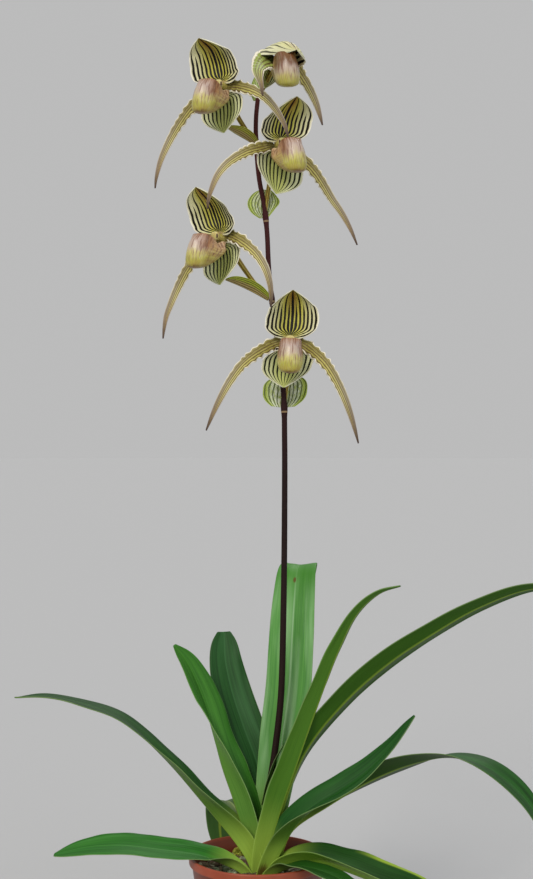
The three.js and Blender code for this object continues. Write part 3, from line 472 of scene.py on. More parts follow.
LEAF_GREENS = {
    # green, its darker streaks, its lighter streaks and midrib, the underside
    "leaf_right_upright": ("#3a681e", "#2c5618", "#568430", "#487220"),
    "leaf_left_upright": ("#3a7424", "#2a5e1a", "#4c8a30", "#62903c"),
    "leaf_left_arching": ("#1c4c14", "#12380c", "#2e601e", "#56782c"),
    "leaf_right_short": ("#22561e", "#163f16", "#32682a", "#4e7426"),
    "leaf_left_low": ("#2c7022", "#205818", "#408430", "#547c34"),
    "leaf_right_low": ("#1e4814", "#14360e", "#32602a", "#729c2c"),
    "leaf_front_low": ("#265a1a", "#1a4412", "#3c702e", "#5a7a2c"),
    # The dark olive undersides of this leaf and the next are painted shade.
    "leaf_right_arching": ("#205618", "#143a10", "#306a28", "#2a4a0c"),
    "leaf_right_long": ("#2a5216", "#1e3c10", "#406a22", "#345a14"),
    # The back upright leaf's whitish lighter streaks are a painted sheen, and its green deepens towards the
    # tip.
    "leaf_back_upright": ("#629e4c", "#4c8640", "#aacea0", "#5c8a3c"),
    "leaf_back_left_upright": ("#285626", "#1c401c", "#3c6c3e", "#3c6a34"),
    "leaf_back_low": ("#48682a", "#2e4c1e", "#8c9c54", "#3f6630"),
}

# Where a brown scar lies, as shares across and along, and its breadth and length in millimetres.
SCARS = {"leaf_right_short": (0.84, 0.05, 13, 16), "leaf_back_upright": (0.47, 0.745, 4, 7)}

LEAF_GRID = (14, 64)
LEAF_THICKNESS = 1.2
SHEATH_THICKNESS = 0.7

for index, (name, leaf) in enumerate(LEAVES.items()):
    ripple = 0.6 if name in ("leaf_right_short", "leaf_right_arching") else 1.6
    shape = leaf_place(leaf, index * 2.7, ripple, CLASP.get(name, FLAT))
    leaf_piece = grid_piece(name, *LEAF_GRID, shape, LEAF_THICKNESS)
    turned = 0.9 if name == "leaf_right_low" else 0.0
    settle(leaf_piece, name, waxy_leaf(f"waxy leaf {index + 1}", leaf, *LEAF_GREENS[name], turned=turned,
                                       mark=SCARS.get(name),
                                       tip=0.8 if name == "leaf_back_upright" else 0.0))
print("leaves:", len(LEAVES))

# %% [markdown]
# ## The scape and its sheath
# The flower stem is a round stalk, swollen a little at each joint, dark maroon and covered in hairs too
# short to see one by one. From a step away the hairs only soften the light, so the finish is matt with a
# sheen.

# %% Scape
SCAPE_LINE = [[8, -1, 99], [10, 0, 179], [17, 0, 228], [23, 0, 281], [26, 0, 382], [27, 0, 484],
  [27, 1, 544],
  [26, 3, 590], [21, 5, 634], [15, 6, 679], [11, 6, 718], [9, 5, 758], [6, 4, 784], [1, 3, 811],
  [-2, 2, 848],
  [-2, 2, 872], [0, 2, 893]]
SCAPE_JOINTS = [0.6, 0.742, 0.845, 0.94]
SCAPE_FOOT = 3.8
SCAPE_TOP = 2.3
SHEATH = {
  "line": [[6, -6.5, 176], [11, -7.5, 198], [18, -8, 220], [26, -9, 238]],
  "width": [[0, 5], [0.4, 6.5], [0.8, 4.5], [1, 1]],
  "fold": [[0, 40], [1, 25]],
  "roll": [[0, 0], [1, 0]],
}


def tube_place(points, radius_at):
    """Grid points wrapped round a route, with the radius given by (share of length, turn)."""
    point_at, heading_at = route(points)
    start = heading_at(0)
    normal = Vector((0, 1, 0))
    normal = (normal - start * normal.dot(start)).normalized()

    def place(across, along):
        turn = 2 * math.pi * across
        tangent = heading_at(along)
        first = (normal - tangent * normal.dot(tangent)).normalized()
        second = tangent.cross(first)
        r = radius_at(along, turn)
        return point_at(along) + first * (r * math.cos(turn)) + second * (r * math.sin(turn))

    return place


def scape_radius(along, turn):
    """The stem tapers, and each joint swells it by 0.9 mm."""
    swell = sum(0.9 * math.exp(-(((along - joint) / 0.006) ** 2)) for joint in SCAPE_JOINTS)
    return SCAPE_FOOT + (SCAPE_TOP - SCAPE_FOOT) * along**0.8 + swell


def hairy_stem(name):
    """A maroon stem with a velvet of fine hairs: nearly black low down, redder towards the flowers."""
    material, tree, shader = new_material(name, 0.65, Specular_IOR_Level=0.15, Sheen_Weight=0.02,
                                          Sheen_Roughness=0.4)
    shader.inputs["Sheen Tint"].default_value = colour("#b58a80")
    uv, _, along, _ = growth_map(tree)
    # The hairs are 0.1 mm thick, too fine to show, and are drawn four times as coarse.
    grain = streaks(tree, uv, (20, 800), (0.4, 2.0), detail=2.0)
    tone = add(tree, "ValToRGB", {0: along}, stops=[
        (0.0, "#4a4a24"), (0.05, "#241611"), (0.5, "#1c0f0e"), (0.68, "#2e1214"), (1.0, "#4c2222")])
    tone = add(tree, "Mix", {0: add(tree, "MapRange", {0: grain, 1: 0.58, 2: 0.8, 4: 0.4}), 6: tone,
                             7: "#5c3a34"}, 2, data_type="RGBA")
    for joint in SCAPE_JOINTS:
        # A pale scar rings the stem where each bract springs.
        away = add(tree, "Math", {0: along, 1: joint - 0.004, 2: 0.0011}, operation="COMPARE")
        tone = add(tree, "Mix", {0: add(tree, "Math", {0: away, 1: grain}, operation="MULTIPLY"), 6: tone,
                                 7: "#b59a72"}, 2, data_type="RGBA")
    dress(tree, shader, tone, grain, 0.2)
    return material


scape_piece = grid_piece("scape", 20, 190, tube_place(SCAPE_LINE, scape_radius), closed=True)
settle(scape_piece, "scape", hairy_stem("hairy maroon stem"))
sheath_piece = grid_piece("scape_sheath", 8, 16, leaf_place(SHEATH), SHEATH_THICKNESS)
settle(sheath_piece, "scape_sheath",
       waxy_leaf("drying sheath", SHEATH, "#3c6424", "#2c4e1a", "#56783a", "#46692c", "#5c7c34", 0.5))

# %% [markdown]
# ## The flowers
# Five flowers open one after another up the scape. Each has a cupped, striped sepal standing over it, two
# lower sepals grown into one blade behind, two long drooping petals, and a third petal blown up into a
# pouch. They share one build, so one table holds what differs: the routes of the blades and how the flower
# is turned.

# %% Flower shapes
FLOWERS = {
  "bloom_1": {
    "centre": [32, -18, 643],
    "turn": { "yaw": 1, "nod": 0, "roll": 2 },
    "dorsal": { "line": [[32, -17, 647], [34, -13, 659], [35, -11, 672], [35, -15, 685], [35, -26, 694]],
      "across": [1, 0, 0], "size": 26.5, "cup": 15, "drop": 5 },
    "synsepal": { "line": [[32, -17, 637.5], [31, -13, 629], [29, -12, 619], [27, -14, 607], [26, -19, 597]],
      "across": [1, 0, 0.04], "size": 25.5, "cup": -8, "drop": 0 },
    "left": [[27.5, -19, 643], [18, -20, 641.5], [10, -21, 638], [-3, -23, 630], [-15, -26, 620],
      [-26, -26, 606],
      [-35, -24, 591], [-44, -20, 573], [-52, -14, 554]],
    "right": [[37, -19, 643], [44, -20, 641], [52, -21, 636], [60, -23, 629], [68, -26, 620], [77, -26, 606],
      [85, -24, 590], [92, -20, 572], [97, -16, 556], [101, -12, 541]],
    "ovary": [[27, 6, 583], [29, 8, 600], [31, 4, 620], [32, -7, 636], [32, -16, 642.8]],
    "bract": { "line": [[26, 6, 577], [28, 12, 588], [29, 15, 600], [29, 17, 611]],
      "width": [[0, 13], [0.15, 20], [0.5, 24], [0.85, 20], [1, 10]], "fold": 20, "roll": 0 },
  },
  "bloom_2": {
    "centre": [-37, -16, 747],
    "turn": { "yaw": -43, "nod": 0, "roll": 2 },
    "dorsal": { "line": [[-38, -15, 751.5], [-40, -11, 760], [-43, -9, 770], [-48.5, -13, 783],
                         [-62, -23, 797]],
      "across": [0.92, -0.36, 0.07], "size": 22.4, "cup": 14, "drop": 9.5 },
    "synsepal": { "line": [[-37, -14, 742], [-35, -10, 734], [-34, -9, 724], [-35, -11, 711],
                           [-38, -16, 700]],
      "across": [0.85, -0.3, 0.345], "size": 21, "cup": -8, "drop": 0 },
    "left": [[-41, -19, 746], [-50, -16, 741], [-62, -10, 730], [-71, -4, 718], [-77, -1, 708],
             [-83, 1, 696],
      [-88, 1, 684], [-93, 0, 670], [-95, -2, 658], [-96, -4, 647]],
    "right": [[-33, -19, 749], [-28, -23, 749], [-19, -30, 744], [-8, -37, 735], [0, -42, 726],
              [7, -45, 714],
      [11, -46, 702], [13, -45, 690], [13, -43, 675]],
    "ovary": [[12, 5.5, 689], [5, 4.5, 695], [-2, 3, 702], [-12, 0, 715], [-26, -5, 735],
      [-35.6, -14.5, 746.8]],
    "bract": { "line": [[10, 3, 686], [-4, -1, 693.5], [-18, -5, 700], [-33, -8, 706]],
      "width": [[0, 7], [0.3, 13], [0.6, 14], [0.85, 10.5], [0.95, 6], [1, 2]], "fold": 48, "roll": 12 },
  },
  "bloom_3": {
    "centre": [21, -18, 840],
    "turn": { "yaw": 27, "nod": 0, "roll": -2 },
    "dorsal": { "line": [[22, -17, 844.5], [24.5, -13, 855], [27, -11, 867], [32, -15, 878], [39, -25, 887]],
      "across": [0.93, 0.3, 0.05], "size": 25.5, "cup": 14, "drop": 8 },
    "synsepal": { "line": [[21, -17, 835], [21, -13, 827], [20, -12, 816], [19, -14, 803], [18, -18, 791]],
      "across": [0.88, 0.25, -0.36], "size": 25.5, "cup": -8, "drop": 0 },
    "left": [[16, -20, 840], [10, -22, 838], [1, -27, 835], [-8, -34, 831], [-19, -42, 824], [-29, -48, 816],
      [-38, -52, 805], [-44, -54, 792], [-48, -54, 779], [-49, -53, 770]],
    "right": [[25, -17, 838], [31, -16, 835], [40, -13, 831], [49, -8, 824], [58, -4, 815], [66, 0, 804],
      [75, 4, 790], [85, 6, 776], [94, 7, 760], [101, 6, 743]],
    "ovary": [[7, 4, 774], [9, 5, 790], [13, 3, 812], [18, -6, 832], [20.3, -16, 839.8]],
    "bract": { "line": [[6.5, 5, 770], [6, 11, 780], [7, 14, 791], [9, 15, 801]],
      "width": [[0, 5], [0.2, 12], [0.55, 17.5], [0.85, 12], [1, 5]], "fold": 22, "roll": 0 },
  },
  "bloom_4": {
    "centre": [-35, -18, 898],
    "turn": { "yaw": -32, "nod": 0, "roll": 3 },
    "dorsal": { "line": [[-36, -17, 902.5], [-39, -13, 910], [-42, -11, 924], [-47.5, -15, 937],
                         [-59, -25, 945]],
      "across": [0.93, -0.3, 0.12], "size": 24.4, "cup": 14, "drop": 10.5 },
    "synsepal": { "line": [[-36, -17, 893], [-35, -13, 884], [-34, -12, 874], [-34, -14, 862],
                           [-34, -18, 852]],
      "across": [0.93, -0.25, 0.25], "size": 22.5, "cup": -8, "drop": 0 },
    "left": [[-39, -18, 896], [-46, -15, 894], [-57, -11, 889], [-67, -6, 881], [-77, -2, 869],
             [-85, 0, 857],
      [-93, 1, 842], [-99, 0, 827], [-103, -2, 810], [-104, -4, 799]],
    "right": [[-31, -20, 898], [-24, -24, 898], [-13, -32, 894], [-2, -40, 888], [7, -45, 881],
      [15, -48, 872],
      [22, -50, 861], [27, -50, 851], [30, -49, 840]],
    "ovary": [[-4, 2, 847], [-10, 1, 856], [-20, -2, 871], [-29, -8, 888], [-33.9, -16.3, 897.8]],
    "bract": { "line": [[-2, 1, 843], [-13, -3, 849], [-23, -6, 855], [-33, -8, 861]],
      "width": [[0, 6], [0.3, 12], [0.6, 12], [0.9, 5], [1, 1.5]], "fold": 44, "roll": 10 },
  },
  "bloom_5": {
    "centre": [22, -12, 930],
    "turn": { "yaw": 12, "nod": 8, "roll": -4 },
    "dorsal": { "line": [[22, -9, 934.5], [23, -15, 939], [27, -26, 940], [32, -40, 936], [38, -51, 926]],
      "across": [0.95, -0.05, -0.26], "size": 21.5, "cup": 19, "drop": 0 },
    "synsepal": { "line": [[18, -6, 925], [11, 0, 921], [7, 2, 912], [7, -4, 900]],
      "across": [0.55, 0.75, 0.2], "size": 19, "cup": -6, "drop": 0 },
    "left": [[17, -14, 929], [10, -28, 922], [4, -46, 913], [1, -62, 903], [2, -76, 892], [4, -86, 881],
      [5, -90, 871]],
    "right": [[27, -13, 928], [33, -12, 924], [39, -11, 919], [44, -8, 912], [50, -6, 903], [55, -4, 894],
      [59, -5, 884], [62, -6, 874], [65, -8, 862]],
    "ovary": [[0, 2, 891], [4, 4, 900], [10, 4, 912], [16, 0, 923], [21.5, -9.8, 929.7]],
    "bract": { "line": [[0, 3, 889], [2, 9, 902], [4, 12, 915], [8, 12, 926]],
      "width": [[0, 5], [0.3, 10], [0.6, 10], [0.9, 5], [1, 2]], "fold": 40, "roll": 0 },
  },
}


def sepal_place(sepal, half, pleats, tight=1.0):
    """A cupped sepal whose veins lie in shallow pleats; tight draws the first rows closer to the base."""
    point_at, heading_at = route(sepal["line"])
    wide = Vector(sepal["across"]).normalized()
    size = sepal["size"]

    def place(across, along):
        u = 1 - 2 * across
        t = along**tight
        tangent = heading_at(t)
        side = (wide - tangent * (0.2 * wide.dot(tangent))).normalized()
        front = side.cross(tangent).normalized()
        w = profile(half, t) * size
        pleat = 0.3 * math.cos(2 * math.pi * pleats * across) * min(1, w / 8) * (1 - u**6)
        return (point_at(t) + side * (u * w) + front * (sepal["cup"] * u * u * w / size + pleat)
                - tangent * (sepal["drop"] * u * u * (1 - t)**3 * min(1, w / 9)))

    return place


# %% [markdown]
# ## Stripes that follow the growth
# The dark stripes of the sepals are veins. They leave the base together, spread as the blade widens and meet
# again at the tip. A stripe at a constant place across the UV map does just that, so one triangle wave
# across the blade draws them all, and a little noise lets them waver. Only near the base, where they fan out
# from one point, do they follow the angle about it. On the hood every second stripe dies out before the tip.
# The ground is yellow-green in the middle and turns to cream at the margin, which carries no stripe.

# %% Sepal material
def striped_sepal(name, size, half, tight, stripes, ground, outer, stripe, short, stain, face=0, bold=1.0):
    """Half and tight are those of the sepal's shape. Stripes is their number, short is how far every second
    one fades, and stain flushes the tip. Face is 0 or 1, the value that marks the skin on the front of this
    sepal. Bold scales the stripes."""
    material, tree, shader = new_material(name, 0.5, IOR=1.42, Specular_IOR_Level=0.25)
    uv, across, along, from_middle = growth_map(tree)
    back = add(tree, "Math", {0: add(tree, "Attribute", attribute_name="first skin", pick="Fac"), 1: face},
               operation="SUBTRACT")
    back = add(tree, "Math", {0: back}, operation="ABSOLUTE")
    grain = streaks(tree, uv, size, (0.7, 9))
    waver = add(tree, "MapRange", {0: streaks(tree, uv, size, (9, 14), detail=2.0), 3: -0.16, 4: 0.16})
    middle = add(tree, "Math", {0: across, 1: 0.5}, operation="SUBTRACT")
    # Near the base the stripes fan out from one point, so there they follow the angle about it.
    up = add(tree, "Math", {0: along, 1: tight}, operation="POWER")
    breadth = add(tree, "ValToRGB", {0: up}, stops=half)
    sideways = add(tree, "Math", {0: middle, 1: breadth}, operation="MULTIPLY")
    sideways = add(tree, "Math", {0: sideways, 1: size[0] / size[1]}, operation="MULTIPLY")
    fan = add(tree, "Math", {0: add(tree, "Math", {0: sideways, 1: up}, operation="ARCTAN2"),
                             1: 1 / math.pi}, operation="MULTIPLY")
    straight = add(tree, "MapRange", {0: up, 1: 0.0, 2: 0.22}, interpolation_type="SMOOTHSTEP")
    place = add(tree, "Math", {0: straight, 1: add(tree, "Math", {0: middle, 1: fan}, operation="SUBTRACT"),
                               2: fan}, operation="MULTIPLY_ADD")
    phase = add(tree, "Math", {0: place, 1: stripes + 0.4, 2: waver}, operation="MULTIPLY_ADD")
    from_stripe = add(tree, "Math", {0: phase, 1: 0.5}, operation="PINGPONG")
    second = add(tree, "Math", {0: add(tree, "Math", {0: phase, 1: 1.0}, operation="PINGPONG"), 1: 0.5},
                 operation="GREATER_THAN")
    # Half the width of a stripe, as a share of the spacing, from base to tip.
    wide = add(tree, "ValToRGB", {0: along}, stops=[
        (0.0, 0.14), (0.12, 0.25), (0.35, 0.27), (0.65, 0.25), (0.9, 0.18), (1.0, 0.14)])
    wide = add(tree, "Math", {0: wide, 1: bold}, operation="MULTIPLY")
    fading = add(tree, "MapRange", {0: along, 1: 0.56, 2: 0.82, 3: 0.0, 4: short})
    wide = add(tree, "Math", {0: add(tree, "Math", {0: second, 1: fading}, operation="MULTIPLY"), 1: -0.3,
                              2: wide}, operation="MULTIPLY_ADD")
    smudge = add(tree, "Math", {0: add(tree, "MapRange",
                                       {0: from_middle, 1: 0.05, 2: 0.35, 3: 0.17, 4: 0.0}),
                                1: add(tree, "MapRange", {0: along, 1: 0.15, 2: 0.45, 3: 1.0, 4: 0.0})},
                 operation="MULTIPLY")
    keel = add(tree, "Math", {0: add(tree, "MapRange", {0: from_middle, 1: 0.04, 2: 0.1, 3: 0.18, 4: 0.0}),
                              1: add(tree, "MapRange", {0: along, 1: 0.25, 2: 0.5, 4: stain})},
               operation="MULTIPLY")
    wide = add(tree, "Math", {0: wide, 1: add(tree, "Math", {0: smudge, 1: keel}, operation="ADD")},
               operation="ADD")
    wide = add(tree, "Math", {0: grain, 1: 0.1,
                              2: add(tree, "Math", {0: wide, 1: 0.05}, operation="SUBTRACT")},
               operation="MULTIPLY_ADD")
    mask = add(tree, "MapRange", {0: add(tree, "Math", {0: wide, 1: from_stripe}, operation="SUBTRACT"),
                                  1: -0.04, 2: 0.04})
    inside = add(tree, "MapRange", {0: from_middle, 1: 0.945, 2: 0.975, 3: 1.0, 4: 0.0})
    # The blades are pinched together at the base, where the stripes end in a flush of grey-pink.
    pinch = add(tree, "Math", {0: along, 1: 10.0, 2: from_middle}, operation="MULTIPLY_ADD")
    pinch = add(tree, "MapRange", {0: pinch, 1: 0.4, 2: 1.3, 3: 0.85, 4: 0.0})
    mask = add(tree, "Math", {0: add(tree, "Math", {0: mask, 1: inside}, operation="MULTIPLY"),
                              1: add(tree, "MapRange", {0: pinch, 3: 1.0, 4: 0.0})}, operation="MULTIPLY")
    mask = add(tree, "Math", {0: mask, 1: add(tree, "MapRange", {0: back, 3: 1.0, 4: 0.85})},
               operation="MULTIPLY")
    tone = add(tree, "ValToRGB", {0: from_middle}, stops=[
        (0.0, ground), (0.35, ground), (0.75, outer), (0.94, outer), (0.975, "#e9e4d2")])
    tone = add(tree, "Mix", {0: add(tree, "MapRange", {0: grain, 1: 0.5, 2: 0.75, 4: 0.35}), 6: tone,
                             7: "#8c8c3c"}, 2, data_type="RGBA")
    flush = add(tree, "Math", {0: add(tree, "MapRange", {0: from_middle, 1: 0.0, 2: 0.4, 3: stain, 4: 0.0}),
                               1: add(tree, "MapRange", {0: along, 1: 0.45, 2: 0.85})}, operation="MULTIPLY")
    tone = add(tree, "Mix", {0: flush, 6: tone, 7: "#84421c"}, 2, data_type="RGBA")
    tone = add(tree, "Mix", {0: pinch, 6: tone, 7: "#b08c78"}, 2, data_type="RGBA")
    tone = add(tree, "Mix", {0: add(tree, "MapRange", {0: back, 4: 0.55}), 6: tone, 7: "#dfe0bc"}, 2,
               data_type="RGBA")
    tone = add(tree, "Mix", {0: mask, 6: tone, 7: stripe}, 2, data_type="RGBA")
    dress(tree, shader, tone, add(tree, "Math", {0: grain, 1: mask}, operation="SUBTRACT"), 0.1)
    return material


# %% [markdown]
# ## Petals with waved margins
# Each petal is a narrow ribbon that sweeps out and hangs down. Near the flower both its margins grow faster
# than its middle, so they crimp into uneven waves seven to ten millimetres long. Further out it twists and
# thins to a brown point. The half towards the top margin turns mauve, the other stays cream and olive
# between thin dark veins, and a pale rim runs round both. Dark warts sit near the flower.

# %% Petal shapes and material
PETAL_HALF = [(0, 3.2), (0.07, 6.0), (0.18, 6.4), (0.4, 5.3), (0.7, 3.9), (0.9, 2.2), (1, 0.8)]
PETAL_WAVE = [(0, 0.3), (0.06, 1.2), (0.28, 1.2), (0.42, 0.7), (0.56, 0.15), (1, 0)]
PETAL_TWIST = {"left": [(0, 0), (0.5, 8), (1, 40)], "right": [(0, 0), (0.5, -8), (1, -40)]}
WAVE_LENGTH = 8.0
# The nodding flower at the top turns the broad side of its left petal to the front.
PETAL_BROAD = {"bloom_5_left": [(0, 2.4), (0.2, 2.1), (0.5, 1.6), (0.8, 1)]}


def petal_place(line, twist, seed, broad):
    """A ribbon along the line. Seed makes its waves its own, and broad widens it from base to tip."""
    point_at, heading_at = route(line)
    length = sum((Vector(q) - Vector(r)).length for q, r in zip(line, line[1:]))

    def place(across, along):
        u = 1 - 2 * across
        tangent = heading_at(along)
        side = Vector((0, -1, 0)).cross(tangent).normalized()
        side.rotate(Matrix.Rotation(math.radians(profile(twist, along)), 3, tangent))
        face = tangent.cross(side)
        edge = math.copysign(abs(u)**2.2, u)
        margin = math.copysign(3, u)
        drift = 3.6 * noise.noise(Vector((along * 9, seed, margin)))
        turn = 2 * math.pi * along * length / WAVE_LENGTH + drift + (1.3 if u > 0 else 0)
        swing = profile(PETAL_WAVE, along) * (0.9 + 1.1 * noise.noise(Vector((along * 16, seed + 5,
                                                                              margin))))
        reach = u * profile(PETAL_HALF, along) * profile(broad, along) + 0.9 * edge * swing * math.cos(turn)
        lift = 1.5 * edge * swing * math.sin(turn) - 0.12 * abs(u) * abs(reach) + 0.3 * soft_fold(u)
        return point_at(along) + side * reach + face * lift

    return place


def veined_petal(name, top_first, fresh=0.0, size=(12, 130)):
    """Top_first says that the UV map starts at the petal's top margin. Fresh is how green the petal is."""
    material, tree, shader = new_material(name, 0.55, IOR=1.42, Specular_IOR_Level=0.25)
    uv, across, along, from_middle = growth_map(tree)
    upward = add(tree, "MapRange", {0: across, 3: 1.0, 4: 0.0}) if top_first else across
    waver = streaks(tree, uv, size, (5, 30), detail=2.0)
    grain = streaks(tree, uv, size, (0.6, 7))
    low = add(tree, "ValToRGB", {0: along}, stops=[
        (0.0, "#746c2c"), (0.14, "#928a3e"), (0.32, "#beb664"), (0.6, "#c6be80"), (0.85, "#a08c64"),
        (1.0, "#433230")])
    top = add(tree, "ValToRGB", {0: along}, stops=[
        (0.0, "#746c2c"), (0.15, "#8a823e"), (0.32, "#9c925a"), (0.6, "#a49a7c"), (0.85, "#8c7c68"),
        (1.0, "#433230")])
    tone = add(tree, "Mix", {0: add(tree, "MapRange", {0: upward, 1: 0.44, 2: 0.56}), 6: low, 7: top}, 2,
               data_type="RGBA")
    tone = add(tree, "Mix", {0: add(tree, "MapRange", {0: grain, 1: 0.5, 2: 0.8, 4: 0.35}), 6: tone,
                             7: "#cfc596"}, 2, data_type="RGBA")
    young = add(tree, "MapRange", {0: along, 1: 0.5, 2: 0.85, 3: fresh, 4: 0.0})
    tone = add(tree, "Mix", {0: young, 6: tone, 7: "#93a452"}, 2, data_type="RGBA")
    # Five veins run the length of the blade, each under a millimetre wide and darkest in the lower half.
    phase = add(tree, "Math", {0: upward, 1: 5.0,
                               2: add(tree, "Math", {0: waver, 1: 0.6}, operation="MULTIPLY")},
                operation="MULTIPLY_ADD")
    veins = add(tree, "MapRange", {0: add(tree, "Math", {0: phase, 1: 0.5}, operation="PINGPONG"),
                                   1: 0.14, 2: 0.28, 3: 1.0, 4: 0.0})
    veins = add(tree, "Math", {0: veins,
                               1: add(tree, "MapRange", {0: upward, 1: 0.4, 2: 0.7, 3: 0.8, 4: 0.5})},
                operation="MULTIPLY")
    veins = add(tree, "Math", {0: veins,
                               1: add(tree, "MapRange", {0: from_middle, 1: 0.76, 2: 0.9, 3: 1, 4: 0})},
                operation="MULTIPLY")
    tone = add(tree, "Mix", {0: veins, 6: tone, 7: "#4f2f20"}, 2, data_type="RGBA")
    rim = add(tree, "ValToRGB", {0: along}, stops=[
        (0.0, "#a8a05c"), (0.1, "#ece6d2"), (0.6, "#ddd6c2"), (0.85, "#a8988a"), (1.0, "#433230")])
    tone = add(tree, "Mix", {0: add(tree, "MapRange", {0: from_middle, 1: 0.78, 2: 0.86}), 6: tone, 7: rim},
               2, data_type="RGBA")
    # Warts: dark dots under a millimetre across, thick near the flower and gone half way out.
    spread = add(tree, "Mapping", {0: uv, "Scale": (size[0] / 1.6, size[1] / 1.6, 1)})
    distance = add(tree, "TexVoronoi", {"Vector": spread, "Scale": 1.0}, "Distance")
    chance = add(tree, "TexNoise", {"Vector": spread, "Scale": 0.8, "Detail": 0.0})
    dots = add(tree, "MapRange", {0: distance, 1: 0.2, 2: 0.34, 3: 0.9, 4: 0.0})
    dots = add(tree, "Math", {0: dots, 1: add(tree, "MapRange", {0: chance, 1: 0.54, 2: 0.6})},
               operation="MULTIPLY")
    dots = add(tree, "Math", {0: dots, 1: add(tree, "MapRange",
                                              {0: along, 1: 0.16, 2: 0.4, 3: 1.0, 4: 0.0})},
               operation="MULTIPLY")
    tone = add(tree, "Mix", {0: dots, 6: tone, 7: "#4a2a1c"}, 2, data_type="RGBA")
    dress(tree, shader, tone, add(tree, "Math", {0: dots, 1: veins}, operation="SUBTRACT"), 0.12)
    return material


# %% [markdown]
# ## The pouch
# The lip is a slipper: a rounded bag with its mouth on top. The front rim is rolled in, each side dips in a
# deep notch, and behind the notch a lobe stands up beside the column. Its rim is drawn first, going round
# from the front. Rings down to the toe follow it less and less, and the grid is wrapped round them all. The
# skin is 0.8 mm thick and waxy, flushed mauve in front, brown along the rim and yellow-green at the toe. A
# brown line runs down each side where the front turns back. The pouch that opened under a hood carries a
# painted shade from it: dark brown over its top and a darker olive-brown on its sides.

# %% Pouch shape
RIM_ANGLES = (0, 40, 65, 90, 112, 130, 148, 165, 180)
RIM_ACROSS = (0, 7, 9.6, 10, 9.4, 9.8, 9.6, 6, 0)
RIM_DEPTH_Y = (-33, -31.5, -27, -20, -14, -8.5, -3.5, -3.0, -3)
RIM_HEIGHT = (0.8, 0.8, 0, -3, -7.5, -5.6, -5.2, -4.3, -4.2)
# How the lip is rolled over the rim: share of the way down, how far inwards, how high.
RIM_ROLL = [(0.0, 3.0, -5.5), (0.06, 2.1, -2.0), (0.1, 1.1, 0.2), (0.14, 0.0, 0.5), (0.18, -0.9, -0.6)]
POUCH_RINGS = [
    # share, height, middle, half width, reach to the front, reach to the back, follows the rim, lobe
    (0.26, -4.5, -22, 11.2, 16.8, 20, 0.75, 0.4),
    (0.40, -11, -24.5, 12.4, 17.3, 25.5, 0.4, 0.16),
    (0.58, -19, -28, 12.6, 15.8, 23.5, 0.05, 0),
    (0.77, -26.5, -31.5, 11.8, 12.5, 15.5, 0, 0),
    (0.90, -31.5, -34, 9.2, 8.5, 8.5, 0, 0),
    (0.96, -33.1, -35, 5.2, 4.6, 4.6, 0, 0),
    (1.00, -33.6, -35.2, 0.0, 0.0, 0.0, 0, 0),
]


def turned_like(flower):
    """The matrix from a flower's own frame to the plant's frame."""
    yaw, nod, roll = [math.radians(flower["turn"][key]) for key in ("yaw", "nod", "roll")]
    turn = Matrix.Rotation(yaw, 4, "Z") @ Matrix.Rotation(nod, 4, "X") @ Matrix.Rotation(roll, 4, "Y")
    return Matrix.Translation(flower["centre"]) @ turn


def pouch_column(across):
    """The points down the pouch at one share of the way round, which starts at the middle of the back."""
    turn = 2 * math.pi * across + math.pi / 2
    angle = abs(360 * across - 180)
    way = math.copysign(1, math.cos(turn))
    x, y, z = [profile(list(zip(RIM_ANGLES, row)), angle) for row in (RIM_ACROSS, RIM_DEPTH_Y, RIM_HEIGHT)]
    inwards = Vector((-x * way, -19 - y, 0)).normalized()
    points = [(share, Vector((x * way, y, z + up)) + inwards * inward) for share, inward, up in RIM_ROLL]
    behind = max(0, math.sin(turn))
    power = 1 - 0.35 * min(1, 3 * behind)
    lobe = math.exp(-(((angle - 145) / 18)**2))
    for share, height, middle, half, front, back, follow, spread in POUCH_RINGS:
        x_share = math.copysign(abs(math.cos(turn))**power, math.cos(turn))
        y_share = math.copysign(abs(math.sin(turn))**power, math.sin(turn))
        reach = back if behind else front
        points.append((share, Vector((half * (1 + spread * lobe) * x_share, middle + reach * y_share,
                                      height + follow * (z - 0.8)))))
    return [[(share, point[k]) for share, point in points] for k in range(3)]


POUCH_TURNS = 52
POUCH_ROWS = 36
POUCH_THICKNESS = 0.8
pouch_columns = [pouch_column(i / POUCH_TURNS) for i in range(POUCH_TURNS + 1)]


def pouch_place(flower):
    """Where each grid point of a flower's pouch lies."""
    matrix = turned_like(flower)

    def place(across, along):
        column = pouch_columns[round(across * POUCH_TURNS)]
        return matrix @ Vector([profile(axis, along) for axis in column])

    return place


